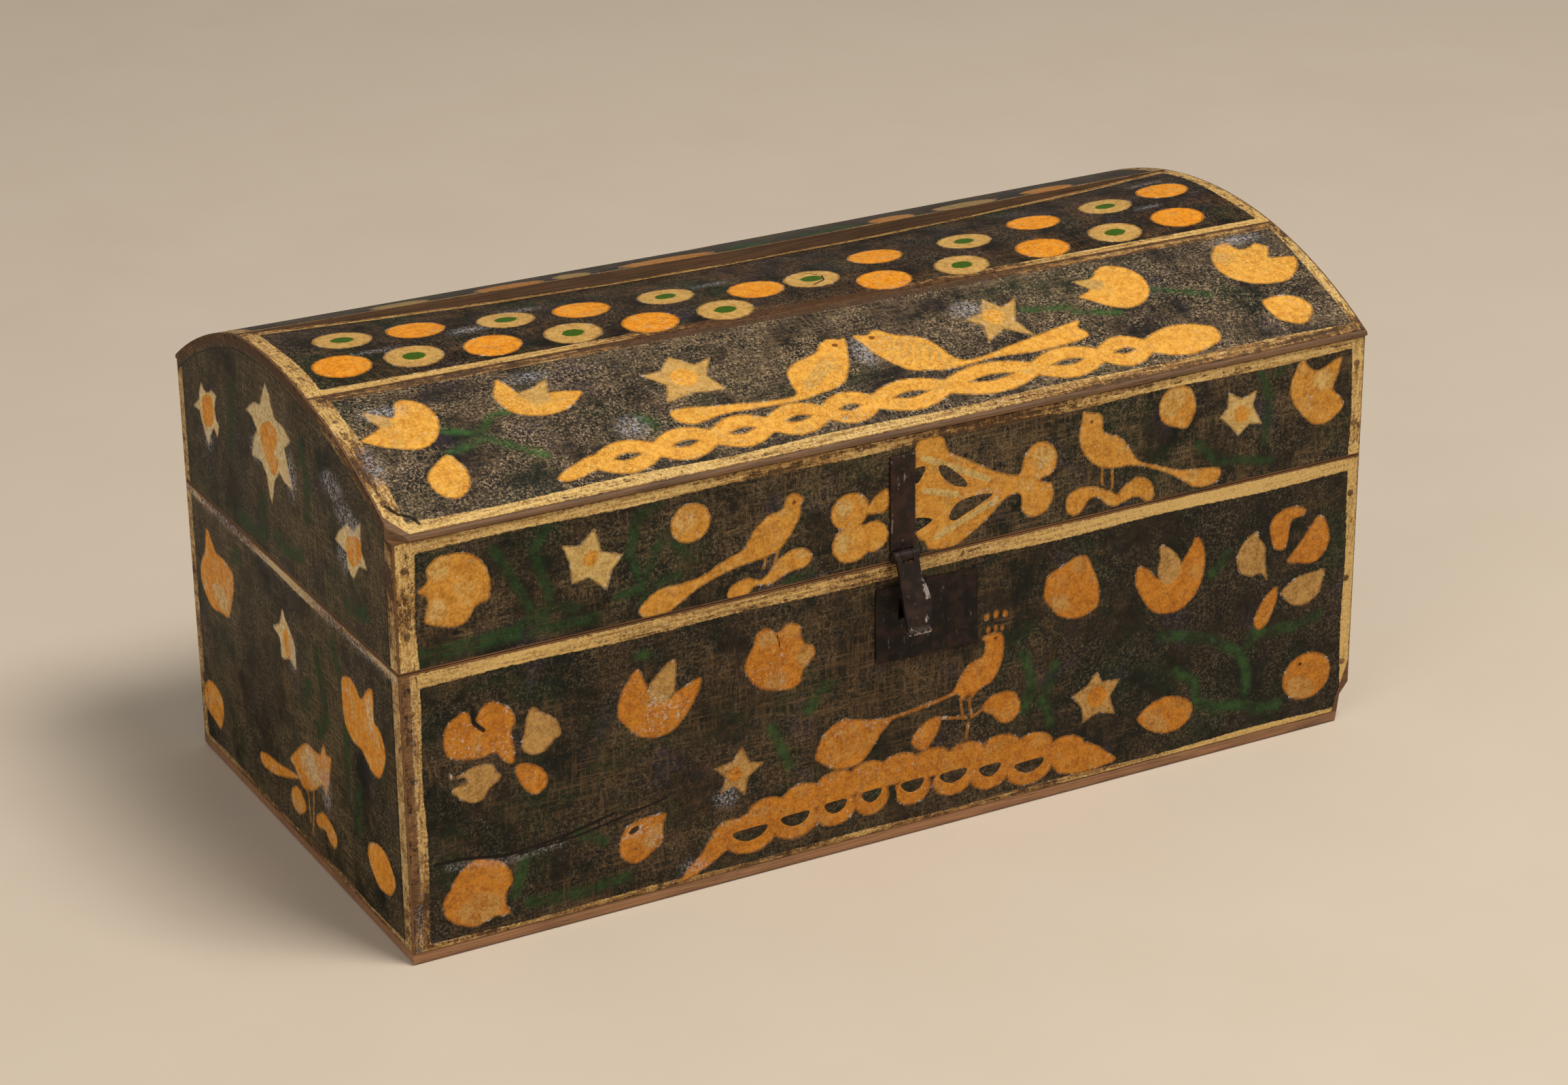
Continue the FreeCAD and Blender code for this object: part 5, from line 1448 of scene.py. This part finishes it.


# Ironwork: hand-forged strap, hasp, plate and wire, nailed on or clenched through the
# boards, black-brown with old rust and grease, and rubbed bright where hands touch.
# The tongue's lip and right edge are brighter still: rubbed iron with a painted
# highlight.


def forged_finish(name, dark, rust, bright_share, lip=0.0, edge=HALF, edge_heights=(0, 1)):
    """Forged iron: clouds of rust and pits, bright where noise says it is rubbed, and
    more so below the lip's height and, between two heights, right of the edge (mm):
    there the brightness is rubbed iron and a painted highlight together."""
    material, bench = new_material(name)
    place = bench.place_in_mm()
    cloud = bench.noise(place, 0.14, 5.0, 0.65)
    pits = bench.noise(place, 0.9, 5.0, 0.7)
    colour = bench.mix(bench.step(cloud, 0.42, 0.66), dark, rust)
    colour = bench.glaze(colour, paint(22, 16, 13), bench.step(pits, 0.55, 0.75), 0.5)
    grain = bench.noise(bench.scaled(place, (1, 1, 0.35)), 0.4, 4.0, 0.7)
    across, _, up = bench.node("ShaderNodeSeparateXYZ", {0: place}).outputs
    foot, head = edge_heights
    # right of the edge and below the lip: rubbed iron and a painted highlight together
    edge_wear_and_highlight = bench.product(bench.step(across, edge - 1, edge + 1), bench.step(
        up, foot - 1, foot + 1), bench.step(up, head + 3, head - 3))
    handled_and_highlit = bench.product(0.2, bench.math("MAXIMUM", edge_wear_and_highlight, bench.step(
        up, lip + 1.5, lip - 1.5)))
    rubbed = bench.step(bench.total(grain, handled_and_highlit), 0.6, 0.7)
    colour = bench.glaze(colour, paint(172, 160, 154), rubbed, bright_share)
    height = bench.total(bench.product(bench.noise(place, 0.22, 2.0), 0.6),
                         bench.product(pits, 0.12))
    roughness = bench.math("SUBTRACT", 0.6, bench.product(rubbed, 0.24))
    bench.finish(colour, roughness, height, metallic=0.35, specular=0.3)
    return material


# The lock plate's iron is darker than the strap's: dark old iron, and painted shade in the tone of
# the plate where the hasp shades it.
coat(["lock_plate", "lock_plate_nails", "lock_bolt", "lock_bolt_guides", "lock_spring"],
     forged_finish("plate_iron", paint(21, 15, 11), paint(48, 32, 23), 0.2))
coat(["hasp_strap", "strap_nails", "hasp_pin", "base_hinge_pins", "lid_hinge_pins"],
     forged_finish("hasp_iron", paint(40, 28, 23), paint(60, 40, 29), 0.4))
# The tongue's lip and right edge: rubbed bright, and a painted highlight where they catch the
# light.
TONGUE_LIP, TONGUE_EDGE, TONGUE_RUB_AND_HIGHLIGHT = 107, 1.6, (119, 134)
coat(["hasp_tongue", "hasp_staple"],
     forged_finish("tongue_iron", paint(36, 26, 22), paint(56, 40, 31), 0.85, TONGUE_LIP,
                   TONGUE_EDGE, TONGUE_RUB_AND_HIGHLIGHT))
coat(["base_corner_nails", "bottom_nails", "lid_corner_nails", "dome_nails"],
     forged_finish("nail_iron", paint(136, 104, 62), paint(78, 54, 34), 0.1))


# Camera, floor and light: the chest stands on a plain pale floor in soft light,
# seen from in front, a little from the left and from above.


def look_frame(azimuth, elevation, roll):
    """A camera's right, up and backward directions for the given turns."""
    back = Vector((math.sin(azimuth) * math.cos(elevation),
                   -math.cos(azimuth) * math.cos(elevation), math.sin(elevation)))
    right = (-back).cross(Vector((0, 0, 1))).normalized()
    upward = right.cross(-back)
    level_right = right * math.cos(roll) + upward * math.sin(roll)
    level_up = upward * math.cos(roll) - right * math.sin(roll)
    return level_right, level_up, back


CAMERA_PLACE = (-0.79846, -1.48837, 0.82824)
AZIMUTH, ELEVATION, ROLL = -28.343, 23.419, -0.6294
LENS = 91.53
SENSOR = 36.0
view_lens = bpy.data.cameras.new("view")
view_lens.lens = LENS
view_lens.sensor_width = SENSOR
view_lens.sensor_fit = "HORIZONTAL"
view_lens.clip_end = 50
viewer = bpy.data.objects.new("view", view_lens)
right, upward, back = look_frame(math.radians(AZIMUTH), math.radians(ELEVATION),
                                 math.radians(ROLL))
turn = Matrix((right, upward, back)).transposed()
viewer.matrix_world = Matrix.Translation(CAMERA_PLACE) @ turn.to_4x4()
bpy.context.scene.collection.objects.link(viewer)
bpy.context.scene.camera = viewer

FLOOR_REACH = 12.0
floor_mesh = bpy.data.meshes.new("floor")
floor_mesh.from_pydata([(-FLOOR_REACH, -FLOOR_REACH, cad_low[2]),
                        (FLOOR_REACH, -FLOOR_REACH, cad_low[2]),
                        (FLOOR_REACH, FLOOR_REACH, cad_low[2]),
                        (-FLOOR_REACH, FLOOR_REACH, cad_low[2])], [], [(0, 1, 2, 3)])
floor_finish, floor_bench = new_material("floor_cloth")
floor_place = floor_bench.place_in_mm()
floor_colour = floor_bench.mix(floor_bench.noise(floor_place, 0.01), paint(206, 190, 170),
                               paint(212, 198, 180))
floor_bench.finish(floor_colour, 0.9, floor_bench.math(
    "MULTIPLY", floor_bench.noise(floor_place, 0.5), 0.05), specular=0.2)
floor_mesh.materials.append(floor_finish)
floor = bpy.data.objects.new("floor", floor_mesh)
bpy.context.scene.collection.objects.link(floor)


def soft_lamp(name, place, aim, size, power, warmth):
    """A square soft lamp at a place, turned to face a point."""
    light = bpy.data.lights.new(name, "AREA")
    light.size = size
    light.energy = power
    light.color = warmth
    lamp = bpy.data.objects.new(name, light)
    away = Vector(place) - Vector(aim)
    lamp.location = place
    lamp.rotation_euler = away.to_track_quat("Z", "Y").to_euler()
    bpy.context.scene.collection.objects.link(lamp)


CHEST_MIDDLE = (0, 0, 0.12)
soft_lamp("key", (0.55, -1.1, 2.7), CHEST_MIDDLE, size=1.0, power=66, warmth=(1.0, 0.97, 0.92))
soft_lamp("fill", (-2.4, -1.5, 1.3), CHEST_MIDDLE, size=1.4, power=18, warmth=(1.0, 0.96, 0.9))
world = bpy.data.worlds.new("studio")
bpy.context.scene.world = world
world.use_nodes = True
sky = world.node_tree.nodes["Background"]
sky.inputs["Color"].default_value = (1.0, 0.97, 0.93, 1)
sky.inputs["Strength"].default_value = 0.32
bpy.context.scene.view_settings.view_transform = "Standard"
